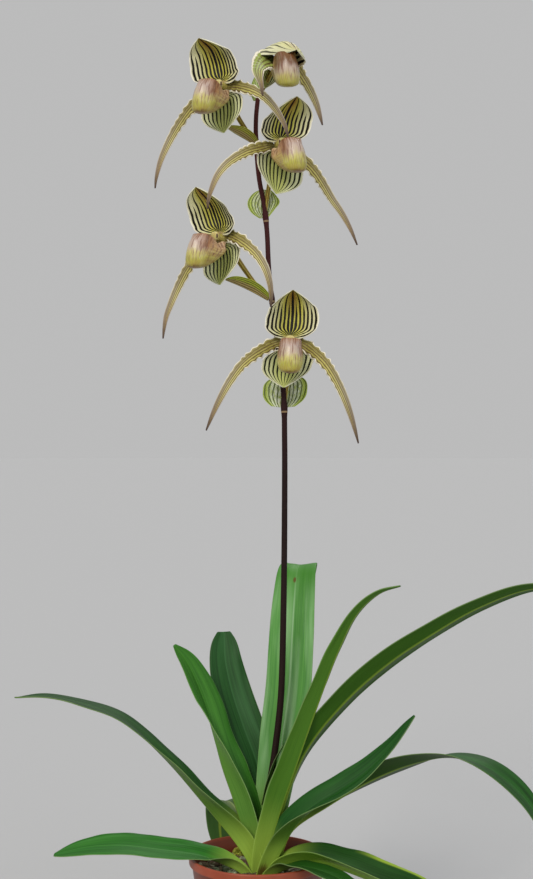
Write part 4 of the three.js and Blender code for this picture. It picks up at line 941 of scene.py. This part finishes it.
# %% Pouch material
def waxy_pouch(name, shaded, size=(84, 52)):
    """Shaded is how strongly the shade of a hood above is painted on the pouch: dark brown over its top and
    a little darker below, a darker olive-brown on its sides, and the mauve reaching further down.
    """
    material, tree, shader = new_material(name, 0.36, IOR=1.45, Coat_Weight=0.12, Coat_Roughness=0.22,
                                          Subsurface_Weight=0.06, Subsurface_Scale=0.002)
    shader.inputs["Subsurface Radius"].default_value = (1.0, 0.6, 0.4)
    uv, _, down, from_front = growth_map(tree)
    outside = add(tree, "Attribute", attribute_name="first skin", pick="Fac")
    veins = streaks(tree, uv, size, (1.6, 16))
    fine = streaks(tree, uv, size, (0.7, 10))
    patches = streaks(tree, uv, size, (11, 16), detail=2.0)
    ribs = streaks(tree, uv, size, (26, 2.0), detail=2.0)
    # Down the front: brown at the rim, mauve, then olive-yellow over the lower half. Under the hood the
    # mauve reaches further down.
    level = add(tree, "Math", {0: patches, 1: 0.24,
                               2: add(tree, "Math", {0: down, 1: 0.12}, operation="SUBTRACT")},
                operation="MULTIPLY_ADD")
    level = add(tree, "Math", {0: veins, 1: 0.2,
                               2: add(tree, "Math", {0: level, 1: 0.1}, operation="SUBTRACT")},
                operation="MULTIPLY_ADD")
    front = add(tree, "Math", {0: level, 1: 0.14 * shaded}, operation="SUBTRACT")
    front = add(tree, "ValToRGB", {0: front}, stops=[
        (0.0, "#8a6a34"), (0.12, "#96602f"), (0.2, "#a5836c"), (0.3, "#bca69a"), (0.46, "#c2b096"),
        (0.57, "#c4ba70"), (0.72, "#b4b04a"), (0.88, "#a8983c"), (0.95, "#84602a")])
    # Under the hood a painted shade, dark brown, covers the top where the hood's shadow falls, and darkens
    # the rest a little.
    top = add(tree, "MapRange", {0: level, 1: 0.34, 2: 0.5, 3: shaded, 4: 0.12 * shaded})
    front = add(tree, "Mix", {0: top, 6: front, 7: "#644018"}, 2, data_type="RGBA")
    # Behind, on the lobes: beige-pink, with ribs that follow their edge.
    back = add(tree, "ValToRGB", {0: level}, stops=[
        (0.0, "#c2b674"), (0.15, "#d2b48e"), (0.32, "#cba67a"), (0.52, "#c4ae68"), (0.7, "#b3a84a"),
        (0.94, "#94803a")])
    back = add(tree, "Mix", {0: add(tree, "MapRange", {0: ribs, 1: 0.46, 2: 0.6, 4: 0.45}), 6: back,
                             7: "#8a5a30"}, 2, data_type="RGBA")
    flank = add(tree, "MapRange", {0: from_front, 1: 0.2, 2: 0.36})
    flank = add(tree, "Math", {0: flank,
                               1: add(tree, "MapRange", {0: level, 1: 0.42, 2: 0.66, 3: 0.85, 4: 0.0})},
                operation="MULTIPLY")
    # Under the hood the sides get a darker olive-brown, a painted shade.
    tone = add(tree, "Mix", {0: flank, 6: front, 7: "#9a6430" if not shaded else "#6e5a26"}, 2,
               data_type="RGBA")
    # A brown line runs down where the front turns into the side.
    seam = add(tree, "Math", {0: from_front, 1: 0.36}, operation="SUBTRACT")
    seam = add(tree, "MapRange", {0: add(tree, "Math", {0: seam}, operation="ABSOLUTE"), 1: 0.01, 2: 0.05,
                                  3: 0.6, 4: 0.0})
    seam = add(tree, "Math", {0: seam, 1: add(tree, "MapRange",
                                              {0: level, 1: 0.45, 2: 0.7, 3: 1.0, 4: 0.0})},
               operation="MULTIPLY")
    tone = add(tree, "Mix", {0: seam, 6: tone, 7: "#5c341c"}, 2, data_type="RGBA")
    tone = add(tree, "Mix", {0: add(tree, "MapRange", {0: from_front, 1: 0.4, 2: 0.54}), 6: tone, 7: back},
               2, data_type="RGBA")
    vein_mask = add(tree, "MapRange", {0: veins, 1: 0.4, 2: 0.5, 3: 0.7, 4: 0.0})
    vein_mask = add(tree, "Math", {0: vein_mask,
                                   1: add(tree, "MapRange", {0: down, 1: 0.55, 2: 0.85, 3: 1, 4: 0.25})},
                    operation="MULTIPLY")
    tone = add(tree, "Mix", {0: vein_mask, 6: tone, 7: "#744630"}, 2, data_type="RGBA")
    tone = add(tree, "Mix", {0: add(tree, "MapRange", {0: fine, 1: 0.52, 2: 0.75, 4: 0.35}), 6: tone,
                             7: "#d8c8b4"}, 2, data_type="RGBA")
    # The inside is pale green-yellow with dark brown dots about a millimetre across.
    dots = add(tree, "Mapping", {0: uv, "Scale": (size[0] / 2.4, size[1] / 2.4, 1)})
    dots = add(tree, "MapRange", {0: add(tree, "TexVoronoi", {"Vector": dots, "Scale": 1.0}, "Distance"),
                                  1: 0.16, 2: 0.26, 3: 0.7, 4: 0.0})
    inside = add(tree, "Mix", {0: dots, 6: "#c3bf7c", 7: "#6c3c28"}, 2, data_type="RGBA")
    tone = add(tree, "Mix", {0: outside, 6: inside, 7: tone}, 2, data_type="RGBA")
    dress(tree, shader, tone, add(tree, "Math", {0: veins, 1: fine}, operation="ADD"), 0.12)
    return material


# %% [markdown]
# ## Column, stalk and bract
# In the mouth of the pouch stands the column, with a shield called the staminode on its end. It is pale
# yellow, finely hairy at the rim, with two dark spots. Behind the flower the stalk is ribbed, and a
# boat-shaped bract with dark veins sits under it.

# %% Column, stalk and bract shapes
COLUMN_RINGS = [(0.0, 2.6, 0.0, 0.0), (0.04, 2.5, 3.2, 0.0), (0.3, -1.5, 4.2, 0.0), (0.48, -4.5, 3.3, 0.5),
                (0.62, -6.5, 4.4, 1.0), (0.78, -9.0, 5.2, 1.0), (0.92, -10.8, 3.8, 0.9),
                (1.0, -11.2, 0.0, 0.8)]


def column_place(flower):
    """Rings round the column, from its root to the notched shield on its end."""
    matrix = turned_like(flower)

    def place(across, along):
        turn = 2 * math.pi * across
        y, r, z = [profile([(ring[0], ring[k]) for ring in COLUMN_RINGS], along) for k in (1, 2, 3)]
        notch = 1 - 0.18 * math.exp(-((turn - math.pi / 2) / 0.5)**2) * min(1, max(0, 3 * along - 1.8))
        return matrix @ Vector((r * math.cos(turn), y, z + r * notch * math.sin(turn)))

    return place


def ovary_radius(along, turn):
    """The stalk thickens towards the flower and has six ribs."""
    return (2 + 1.2 * along) * (1 + 0.07 * math.cos(6 * turn))


# %% Column, stalk and bract materials
def pale_staminode(name, size=(28, 16)):
    """The column's finish: pale yellow and downy, with a dark spot on each side of its face."""
    material, tree, shader = new_material(name, 0.55, Sheen_Weight=0.15, Subsurface_Weight=0.1,
                                          Subsurface_Scale=0.001)
    uv, around, out, _ = growth_map(tree)
    grain = streaks(tree, uv, size, (0.9, 1.4))
    tone = add(tree, "ValToRGB", {0: out}, stops=[
        (0.0, "#8c8636"), (0.5, "#b8a94e"), (0.7, "#c9ba66"), (0.85, "#d6ca86"), (1.0, "#c4b468")])
    tone = add(tree, "Mix", {0: add(tree, "MapRange", {0: grain, 1: 0.5, 2: 0.8, 4: 0.7}), 6: tone,
                             7: "#9a7440"}, 2, data_type="RGBA")
    # Two dark spots, left and right on the face of the shield.
    sides = add(tree, "Math", {0: add(tree, "Math", {0: around, 1: 2 * math.pi}, operation="MULTIPLY")},
                operation="COSINE")
    sides = add(tree, "MapRange", {0: add(tree, "Math", {0: sides}, operation="ABSOLUTE"), 1: 0.84, 2: 0.95})
    face = add(tree, "Math", {0: out, 1: 0.86, 2: 0.05}, operation="COMPARE")
    tone = add(tree, "Mix", {0: add(tree, "Math", {0: sides, 1: face}, operation="MULTIPLY"), 6: tone,
                             7: "#4a2416"}, 2, data_type="RGBA")
    dress(tree, shader, tone, grain, 0.15)
    return material


def ribbed_stalk(name, size=(18, 60)):
    """The stalk's finish: olive with brown furrows."""
    material, tree, shader = new_material(name, 0.5, Specular_IOR_Level=0.25)
    uv, around, _, _ = growth_map(tree)
    grain = streaks(tree, uv, size, (1.2, 3.0))
    # Six ribs, which catch the light, with dark lines in the furrows.
    ribs = add(tree, "Math", {0: add(tree, "Math", {0: around, 1: 12.0}, operation="MULTIPLY"), 1: 1.0},
               operation="PINGPONG")
    tone = add(tree, "Mix", {0: ribs, 6: "#b8a844", 7: "#6c5024"}, 2, data_type="RGBA")
    tone = add(tree, "Mix", {0: add(tree, "MapRange", {0: grain, 1: 0.5, 2: 0.8, 4: 0.6}), 6: tone,
                             7: "#5a3620"}, 2, data_type="RGBA")
    dress(tree, shader, tone, grain, 0.15)
    return material


def veined_bract(name, size, green, keel, line, inner, pale):
    """Green is the tone towards the margins and keel the one along the fold. Line is the veins' tone. Inner
    is the inside's, and pale is how strongly the inside shows it."""
    material, tree, shader = new_material(name, 0.45, Specular_IOR_Level=0.25)
    uv, across, _, from_middle = growth_map(tree)
    inside = add(tree, "Attribute", attribute_name="first skin", pick="Fac")
    waver = streaks(tree, uv, size, (10, 20), detail=2.0)
    crinkle = streaks(tree, uv, size, (1.6, 5))
    tone = add(tree, "Mix", {0: add(tree, "MapRange", {0: from_middle, 1: 0.4, 2: 0.6}), 6: keel, 7: green},
               2, data_type="RGBA")
    face = add(tree, "ValToRGB", {0: from_middle}, stops=[
        (0.05, 0.3), (0.2, pale), (0.6, pale), (0.86, 0.0)])
    face = add(tree, "Math", {0: face, 1: add(tree, "MapRange", {0: crinkle, 1: 0.3, 2: 0.6})},
               operation="MULTIPLY")
    face = add(tree, "Math", {0: face, 1: inside}, operation="MULTIPLY")
    tone = add(tree, "Mix", {0: face, 6: tone, 7: inner}, 2, data_type="RGBA")
    phase = add(tree, "Math", {0: across, 1: 11.0, 2: waver}, operation="MULTIPLY_ADD")
    veins = add(tree, "MapRange", {0: add(tree, "Math", {0: phase, 1: 0.5}, operation="PINGPONG"),
                                   1: 0.1, 2: 0.22, 3: 0.9, 4: 0.0})
    tone = add(tree, "Mix", {0: veins, 6: tone, 7: line}, 2, data_type="RGBA")
    dress(tree, shader, tone, add(tree, "Math", {0: crinkle, 1: veins}, operation="SUBTRACT"), 0.3)
    return material


# %% Make the five flowers
DORSAL_HALF = [[0, 0.12], [0.03, 0.55], [0.09, 0.88], [0.22, 1], [0.45, 0.98], [0.68, 0.88],
  [0.81, 0.74], [0.89, 0.58], [0.95, 0.36], [1, 0.03]]
SYNSEPAL_HALF = [[0, 0.3], [0.06, 0.66], [0.16, 0.92], [0.28, 1], [0.42, 1], [0.62, 0.93], [0.8, 0.66],
  [0.93, 0.3], [1, 0.04]]
# How closely the first rows of each sepal's grid lie, the same for its shape and its stripes.
HOOD_TIGHT = 1.3
LOWER_TIGHT = 1.2
dorsal_finish = striped_sepal("striped hood sepal", (54, 54), DORSAL_HALF, HOOD_TIGHT, 13, "#bfba50",
                              "#dddaae",
                              "#0e0707", 0.9, 0.9)
synsepal_finish = striped_sepal("striped lower sepal", (50, 48), SYNSEPAL_HALF, LOWER_TIGHT, 11, "#b2b96c",
                                "#d8dcac",
                                "#15190d", 0.0, 0.0, face=1, bold=0.76)
petal_finish = {
    "left": veined_petal("veined left petal", False),
    "right": veined_petal("veined right petal", True),
    "nodding": veined_petal("veined green petal", False, fresh=0.85),
}
pouch_finish = waxy_pouch("waxy pouch", 0.0)
# The top flower's pouch carries a painted shade from its hood.
shaded_pouch_finish = waxy_pouch("waxy pouch with painted hood shade", 0.85)
column_finish = pale_staminode("downy staminode")
ovary_finish = ribbed_stalk("ribbed stalk")
BRACT_TONES = {
    # tone towards the margins, along the keel and of the veins, tone of the pale inner face and its strength
    "bloom_1": ("#adc052", "#a3b44c", "#4a5c26", "#e6ecd8", 1.0),
    "bloom_2": ("#b0bc38", "#ac985c", "#3c2416", "#b7c070", 0.1),
    "bloom_3": ("#adc052", "#a3b44c", "#4a5c26", "#dde6c8", 0.95),
    "bloom_4": ("#b0b03c", "#ac985c", "#3c2416", "#b7c070", 0.1),
    "bloom_5": ("#9ab04a", "#9ab04a", "#46541f", "#c3cf9a", 0.5),
}

# The grid of each blade, across and along, and the thickness of each piece in millimetres.
HOOD_GRID = (48, 32)
LOWER_GRID = (42, 28)
PETAL_GRID = (10, 126)
SEPAL_THICKNESS = 0.8
PETAL_THICKNESS = 0.7
BRACT_THICKNESS = 0.6

for index, (name, flower) in enumerate(FLOWERS.items()):
    shape = sepal_place(flower["dorsal"], DORSAL_HALF, 14, HOOD_TIGHT)
    settle(grid_piece(f"{name}_dorsal_sepal", *HOOD_GRID, shape, SEPAL_THICKNESS),
           f"{name}_dorsal_sepal", dorsal_finish)
    shape = sepal_place(flower["synsepal"], SYNSEPAL_HALF, 12, LOWER_TIGHT)
    settle(grid_piece(f"{name}_synsepal", *LOWER_GRID, shape, SEPAL_THICKNESS),
           f"{name}_synsepal", synsepal_finish)
    for side in ("left", "right"):
        shape = petal_place(flower[side], PETAL_TWIST[side], index * 3.1 + (side == "left"),
                            PETAL_BROAD.get(f"{name}_{side}", [(0, 1), (1, 1)]))
        settle(grid_piece(f"{name}_petal_{side}", *PETAL_GRID, shape, PETAL_THICKNESS),
               f"{name}_petal_{side}",
               petal_finish["nodding" if f"{name}_{side}" in PETAL_BROAD else side])
    settle(grid_piece(f"{name}_pouch", POUCH_TURNS, POUCH_ROWS, pouch_place(flower), POUCH_THICKNESS,
                      closed=True),
           f"{name}_pouch",
           shaded_pouch_finish if name == "bloom_5" else pouch_finish)
    settle(grid_piece(f"{name}_column", 24, 30, column_place(flower), closed=True), f"{name}_column",
           column_finish)
    settle(grid_piece(f"{name}_ovary", 36, 30, tube_place(flower["ovary"], ovary_radius), closed=True),
           f"{name}_ovary", ovary_finish)
    bract = dict(flower["bract"])
    bract["fold"] = [(0, bract["fold"]), (1, bract["fold"] * 0.6)]
    bract["roll"] = [(0, bract["roll"]), (1, bract["roll"])]
    settle(grid_piece(f"{name}_bract", 20, 20, leaf_place(bract), BRACT_THICKNESS), f"{name}_bract",
           veined_bract(f"bract {index + 1}", blade_size(bract), *BRACT_TONES[name]))
print("flowers:", len(FLOWERS))


# %% [markdown]
# ## The pot
# A nursery pot is thin moulded polypropylene: a taper with a rolled rim and drainage holes in its floor. A
# turned shape comes from one outline spun about the axis. The holes are cut with six cylinders afterwards,
# because a hole off the axis can't be turned. Its sizes come from the solid pot's box.

# %% Turn the pot
POT_LOW, POT_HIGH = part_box("pot")
RIM_RADIUS = (POT_HIGH[0] - POT_LOW[0]) / 2 / MM
POT_TOP = POT_HIGH[2] / MM
BASE_RADIUS = 50
WALL = 2
RIM_DEPTH = 9
FLOOR = 3
BEAD = 1.3
DRAIN_HOLES = 6
DRAIN_RING = 33
DRAIN_RADIUS = 5


def wall_radius(z):
    """The outer radius of the pot's tapered wall at a height."""
    return BASE_RADIUS + (RIM_RADIUS - 1.6 - BASE_RADIUS) * z / POT_TOP


def spun(name, outline, steps=96):
    """Spins an outline of (radius, height) pairs about the upright axis."""
    bm = bmesh.new()
    ring = [bm.verts.new((r * MM, 0, z * MM)) for r, z in outline]
    edges = [bm.edges.new(pair) for pair in zip(ring, ring[1:])]
    bmesh.ops.spin(bm, geom=ring + edges, cent=(0, 0, 0), axis=(0, 0, 1), angle=2 * math.pi, steps=steps,
                   use_merge=True)
    bmesh.ops.remove_doubles(bm, verts=bm.verts, dist=1e-6)
    bmesh.ops.recalc_face_normals(bm, faces=bm.faces)
    return make_object(name, bm)


def cut_away(piece, cutter):
    """Takes the cutter out of the piece for good."""
    cut = piece.modifiers.new("holes", "BOOLEAN")
    cut.object = cutter
    cut.operation = "DIFFERENCE"
    cut.solver = "EXACT"
    result = bpy.data.meshes.new_from_object(piece.evaluated_get(bpy.context.evaluated_depsgraph_get()))
    piece.modifiers.clear()
    piece.data = result
    bpy.data.objects.remove(cutter)


collar = POT_TOP - RIM_DEPTH
rolled = [(RIM_RADIUS - BEAD + BEAD * math.cos(a), POT_TOP - BEAD + BEAD * math.sin(a))
          for a in (math.radians(d) for d in range(0, 91, 18))]
pot_piece = spun("pot", [
    (0, 0), (BASE_RADIUS - 6, 0), (BASE_RADIUS - 5, 0.8), (BASE_RADIUS - 3, 0.8), (BASE_RADIUS - 2, 0),
    (BASE_RADIUS - 0.8, 0.1), (BASE_RADIUS - 0.1, 0.8), (wall_radius(3), 3),
    (wall_radius(60), 60), (wall_radius(collar - 0.3), collar - 0.3), (wall_radius(collar) + 0.2, collar),
    (RIM_RADIUS - 0.5, collar + 0.4), (RIM_RADIUS - 0.1, collar + 0.9), (RIM_RADIUS, collar + 1.6),
    *rolled, (RIM_RADIUS - 2.2, POT_TOP - 0.05), (RIM_RADIUS - 2.7, POT_TOP - 0.7),
    (wall_radius(collar - 3) - WALL, collar - 3), (wall_radius(60) - WALL, 60),
    (wall_radius(FLOOR + 1) - WALL, FLOOR + 1), (wall_radius(FLOOR) - WALL - 1, FLOOR), (0, FLOOR),
])
bm = bmesh.new()
for hole in range(DRAIN_HOLES):
    around = hole * math.pi / 3
    place = Matrix.Translation((DRAIN_RING * MM * math.cos(around), DRAIN_RING * MM * math.sin(around),
                                1.5 * MM))
    bmesh.ops.create_cone(bm, cap_ends=True, segments=32, radius1=DRAIN_RADIUS * MM,
                          radius2=DRAIN_RADIUS * MM,
                          depth=8 * MM, matrix=place)
cut_away(pot_piece, make_object("drain_cutter", bm))
pot_piece.data.set_sharp_from_angle(angle=math.radians(40))
print("pot: %.0f mm across, %.0f mm high" % (2 * RIM_RADIUS, POT_TOP))


# %% [markdown]
# ## Moulded plastic
# The mould leaves the plastic with a fine even grain, so highlights spread and never turn sharp. The
# terracotta pigment is even. Dust and dried hard water lie in a thin pale film, most of all at the foot.

# %% Pot material
def moulded_polypropylene(name):
    """Terracotta plastic with an even grain, a film of dust and a darker inside."""
    material, tree, shader = new_material(name, 0.45, IOR=1.49, Specular_IOR_Level=0.4)
    place = add(tree, "TexCoord", pick="Object")
    # The mould's grain is about 0.5 mm, and the clouds of dust 40 mm.
    grain = add(tree, "TexNoise", {"Vector": place, "Scale": 2000.0, "Detail": 2.0})
    cloud = add(tree, "TexNoise", {"Vector": place, "Scale": 25.0, "Detail": 5.0})
    tone = add(tree, "Mix", {0: add(tree, "MapRange", {0: cloud, 1: 0.3, 2: 0.7}), 6: "#8a3e26",
                             7: "#a04a2e"}, 2, data_type="RGBA")
    height = add(tree, "SeparateXYZ", {0: place}, "Z")
    foot = add(tree, "MapRange", {0: height, 1: 0.0, 2: 30 * MM, 3: 0.6, 4: 0.12})
    film = add(tree, "Math", {0: foot, 1: add(tree, "MapRange", {0: cloud, 1: 0.45, 2: 0.75})},
               operation="MULTIPLY")
    tone = add(tree, "Mix", {0: film, 6: tone, 7: "#b9917d"}, 2, data_type="RGBA")
    # Inside, above the mix, damp and shade leave the plastic darker.
    radius = add(tree, "VectorMath", {0: place, 1: (1, 1, 0)}, operation="MULTIPLY")
    radius = add(tree, "VectorMath", {0: radius}, "Value", operation="LENGTH")
    inner = add(tree, "MapRange", {0: radius, 1: 66.6 * MM, 2: 67.6 * MM, 3: 0.55, 4: 0.0})
    inner = add(tree, "Math", {0: inner, 1: add(tree, "MapRange", {0: height, 1: 0.1, 2: 0.104})},
                operation="MULTIPLY")
    tone = add(tree, "Mix", {0: inner, 6: tone, 7: "#4a2018"}, 2, data_type="RGBA")
    dress(tree, shader, tone, grain, 0.04)
    return material


settle(pot_piece, "pot", moulded_polypropylene("moulded terracotta polypropylene"))

# %% [markdown]
# ## Bark mix and moss
# The pot is filled with chunks of fir bark and small stones. Each chunk is a rough ball pressed flat in one
# direction and given a tone of its own, which the material reads from the mesh. The chunks lie in and on a
# bed that fills the pot. A tuft of moss grows behind the crown, as a cushion of short leaflets.

# %% Bark chunks on a bed
MIX_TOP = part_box("mix")[1][2] / MM
BED_LEVEL = 106
BED_REACH = 64
CHUNKS = 260
CHUNK_REACH = 60.5
# Turning by this angle from one chunk to the next spreads them evenly, as seeds lie in a sunflower.
GOLDEN_ANGLE = 2.39996
dice = random.Random(7)
bm = bmesh.new()
tone_layer = bm.verts.layers.float.new("tone")
for i in range(CHUNKS):
    reach = CHUNK_REACH * math.sqrt((i + 0.5) / CHUNKS)
    around = i * GOLDEN_ANGLE
    stone = dice.random() < 0.3
    size = dice.uniform(3.2, 5.2) if stone else dice.uniform(4.5, 8.5)
    flat = (1, dice.uniform(0.7, 0.9), dice.uniform(0.6, 0.8)) if stone else (1, dice.uniform(0.5, 0.8),
                                                                              0.42)
    made = bmesh.ops.create_icosphere(bm, subdivisions=2, radius=1)["verts"]
    turn = Matrix.Rotation(dice.uniform(0, 6.28), 3, "Z") @ Matrix.Rotation(dice.uniform(-0.6, 0.6), 3, "X")
    seat = Vector((reach * math.cos(around), reach * math.sin(around), BED_LEVEL + dice.uniform(-1, 3.5)))
    shade = dice.random() * 0.4 + (0.6 if stone else 0.0)
    for v in made:
        rough = 1 + (0.14 if stone else 0.4) * noise.noise(v.co * 1.9 + Vector((i, 0, 0)))
        corner = v.co * rough * size
        place = seat + turn @ Vector((corner.x * flat[0], corner.y * flat[1], corner.z * flat[2]))
        out = place.xy.length
        if out > BED_REACH:
            place.xy *= BED_REACH / out
        place.z = min(place.z, MIX_TOP)
        v.co = place * MM
        v[tone_layer] = shade
bed = [(0, FLOOR + 0.5), (wall_radius(FLOOR) - WALL - 1.5, FLOOR + 0.5),
       (wall_radius(BED_LEVEL) - WALL - 0.5, BED_LEVEL), (0, BED_LEVEL)]
ring = [bm.verts.new((r * MM, 0, z * MM)) for r, z in bed]
edges = [bm.edges.new(pair) for pair in zip(ring, ring[1:])]
bmesh.ops.spin(bm, geom=ring + edges, cent=(0, 0, 0), axis=(0, 0, 1), angle=2 * math.pi, steps=64,
               use_merge=True)
bmesh.ops.remove_doubles(bm, verts=bm.verts, dist=1e-6)
bmesh.ops.recalc_face_normals(bm, faces=bm.faces)
mix_piece = make_object("bark_mix", bm)
print("bark mix: %d chunks, %d faces" % (CHUNKS, len(mix_piece.data.polygons)))


# %% Bark and stone material
def bark_and_stone(name):
    """One finish for bark and stones. The value "tone" on the mesh picks each chunk's own colour."""
    material, tree, shader = new_material(name, 0.85)
    place = add(tree, "TexCoord", pick="Object")
    tone = add(tree, "Attribute", attribute_name="tone", pick="Fac")
    # Bark flakes are about 2 mm across, and the pale weathered patches 8 mm.
    grain = add(tree, "TexNoise", {"Vector": place, "Scale": 500.0, "Detail": 5.0})
    patch = add(tree, "TexNoise", {"Vector": place, "Scale": 125.0, "Detail": 3.0})
    base = add(tree, "ValToRGB", {0: tone}, stops=[
        (0.0, "#3c2c1e"), (0.2, "#5a4430"), (0.4, "#6f5e40"), (0.6, "#64724e"), (1.0, "#9aa684")])
    base = add(tree, "Mix", {0: add(tree, "MapRange", {0: grain, 1: 0.46, 2: 0.75, 4: 0.8}), 6: base,
                             7: "#26221a"}, 2, data_type="RGBA")
    base = add(tree, "Mix", {0: add(tree, "MapRange", {0: patch, 1: 0.54, 2: 0.68, 4: 0.85}), 6: base,
                             7: "#c2c4a2"}, 2, data_type="RGBA")
    dress(tree, shader, base, add(tree, "Math", {0: grain, 1: patch}, operation="ADD"), 0.9)
    return material


settle(mix_piece, "mix", bark_and_stone("fir bark and grit"))

# %% Moss cushion
MOSS_LOW, MOSS_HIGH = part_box("moss")
LEAFLETS = 420
moss_mid = (Vector(MOSS_LOW) + Vector(MOSS_HIGH)) / 2
moss_half = (Vector(MOSS_HIGH) - Vector(MOSS_LOW)) / 2
bm = bmesh.new()
core = bmesh.ops.create_icosphere(bm, subdivisions=3, radius=1)["verts"]
for v in core:
    lump = 0.8 + 0.25 * noise.noise(v.co * 2.2)
    v.co = moss_mid + Vector([v.co[k] * moss_half[k] * lump for k in range(3)])
for i in range(LEAFLETS):
    up = Vector((dice.gauss(0, 1), dice.gauss(0, 1), abs(dice.gauss(0, 1)))).normalized()
    foot = moss_mid + Vector([up[k] * moss_half[k] * 0.74 for k in range(3)])
    lean = up.to_track_quat("Z", "Y").to_matrix().to_4x4()
    bmesh.ops.create_cone(bm, segments=4, radius1=0.55 * MM, radius2=0.08 * MM, depth=2.6 * MM,
                          matrix=Matrix.Translation(foot + up * 1.0 * MM) @ lean)
moss_piece = make_object("moss", bm)


def moss_leaflets(name):
    """Damp moss, in patches from olive to a bright yellow-green."""
    material, tree, shader = new_material(name, 0.7, Subsurface_Weight=0.1, Subsurface_Scale=0.001)
    patch = add(tree, "TexNoise", {"Vector": add(tree, "TexCoord", pick="Object"), "Scale": 300.0,
                                   "Detail": 3.0})
    tone = add(tree, "ValToRGB", {0: patch}, stops=[(0.3, "#6e7824"), (0.5, "#a8ae38"), (0.7, "#d4d66c")])
    dress(tree, shader, tone, patch, 0.3)
    return material


settle(moss_piece, "moss", moss_leaflets("moss leaflets"))

# %% [markdown]
# ## The crown
# The leaves clasp one another round a short crown that sits in the bark. Little of it shows, so it is one
# turned shape with shallow folds where the leaf bases overlap, in the yellow-green of tissue that gets no
# sun.

# %% Crown
CROWN_MID = (Vector(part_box("crown")[0]) + Vector(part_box("crown")[1])) / 2 / MM
CROWN_FOOT = 88
CROWN_HEIGHT = 24
# Share of the height and radius.
CROWN_OUTLINE = [(0, 0), (0.02, 9), (0.35, 14.6), (0.65, 13.6), (0.97, 6.5), (1.0, 0)]


def crown_place(across, along):
    """A barrel with seven shallow folds that wind up round it."""
    turn = 2 * math.pi * across
    r = profile(CROWN_OUTLINE, along) * (1 - 0.03 * (1 + math.cos(7 * turn + 4 * along)))
    return Vector((CROWN_MID.x + r * math.cos(turn), CROWN_MID.y + r * math.sin(turn),
                   CROWN_FOOT + CROWN_HEIGHT * along))


crown_piece = grid_piece("crown", 42, 20, crown_place, closed=True)
CROWN_SIZE = {"line": [(0, 0, CROWN_FOOT), (0, 0, CROWN_FOOT + CROWN_HEIGHT)], "width": [(0, 45)]}
settle(crown_piece, "crown",
       waxy_leaf("clasping leaf bases", CROWN_SIZE, "#7f9a3a", "#658030", "#98ab4c", "#7f9a3a", "#8a9c3c"))

# %% [markdown]
# ## Floor, light and camera
# The plant stands on a plain pale floor that fades into an equally pale surround. A soft lamp high on the
# left in front gives the form, a weaker one on the right opens the shadows, and one behind draws the edges.
# All three are far away, so the floor is lit evenly. It has just the tone that gives back the surround's own
# brightness under this light, so hardly any horizon shows. The camera looks level from 1.4 m away, a little
# above the middle of the plant, as in the photograph.

# %% Lamps
SURROUND = 0.5
LAMPS = [
    # name, heading and height above the floor in degrees, how wide it looks, watts a square metre, colour
    ("key lamp", -28, 38, 24, 1.75, "#fff9f0"),
    ("fill lamp", 40, 18, 40, 0.6, "#f4f6ff"),
    ("edge lamp", 165, 50, 20, 0.6, "#ffffff"),
]
on_floor = Vector((SURROUND, SURROUND, SURROUND))
for name, heading, height, wide, power, code in LAMPS:
    lamp = bpy.data.lights.new(name, "SUN")
    lamp.angle = math.radians(wide)
    lamp.energy = power
    lamp.color = colour(code)[:3]
    holder = bpy.data.objects.new(name, lamp)
    bpy.context.collection.objects.link(holder)
    holder.rotation_euler = (math.radians(90 - height), 0, math.radians(heading))
    on_floor += Vector(lamp.color) * (power * math.sin(math.radians(height)) / math.pi)
print("light on the floor: %.2f times the surround" % (on_floor.y / SURROUND))

# %% Floor and surround
bm = bmesh.new()
bmesh.ops.create_circle(bm, cap_ends=True, segments=96, radius=40.0)
floor = make_object("floor", bm)
material, tree, shader = new_material("matt pale floor", 0.95, Specular_IOR_Level=0.1)
shader.inputs["Base Color"].default_value = (*[SURROUND / light for light in on_floor], 1)
floor.data.materials.append(material)

world = bpy.data.worlds.new("pale surround")
bpy.context.scene.world = world
world.use_nodes = True
world.node_tree.nodes["Background"].inputs["Color"].default_value = colour(1.0)
world.node_tree.nodes["Background"].inputs["Strength"].default_value = SURROUND
bpy.context.scene.view_settings.view_transform = "Standard"

# %% Camera
FRAME_HEIGHT = 879
FOCAL_PIXELS = 1380
CAMERA_PLACE = (8.6, -1400, 545)
camera_data = bpy.data.cameras.new("camera")
camera_data.sensor_width = 36
camera_data.lens = FOCAL_PIXELS / FRAME_HEIGHT * camera_data.sensor_width
camera = bpy.data.objects.new("camera", camera_data)
bpy.context.collection.objects.link(camera)
camera.location = Vector(CAMERA_PLACE) * MM
camera.rotation_euler = (math.pi / 2, 0, 0)
bpy.context.scene.camera = camera
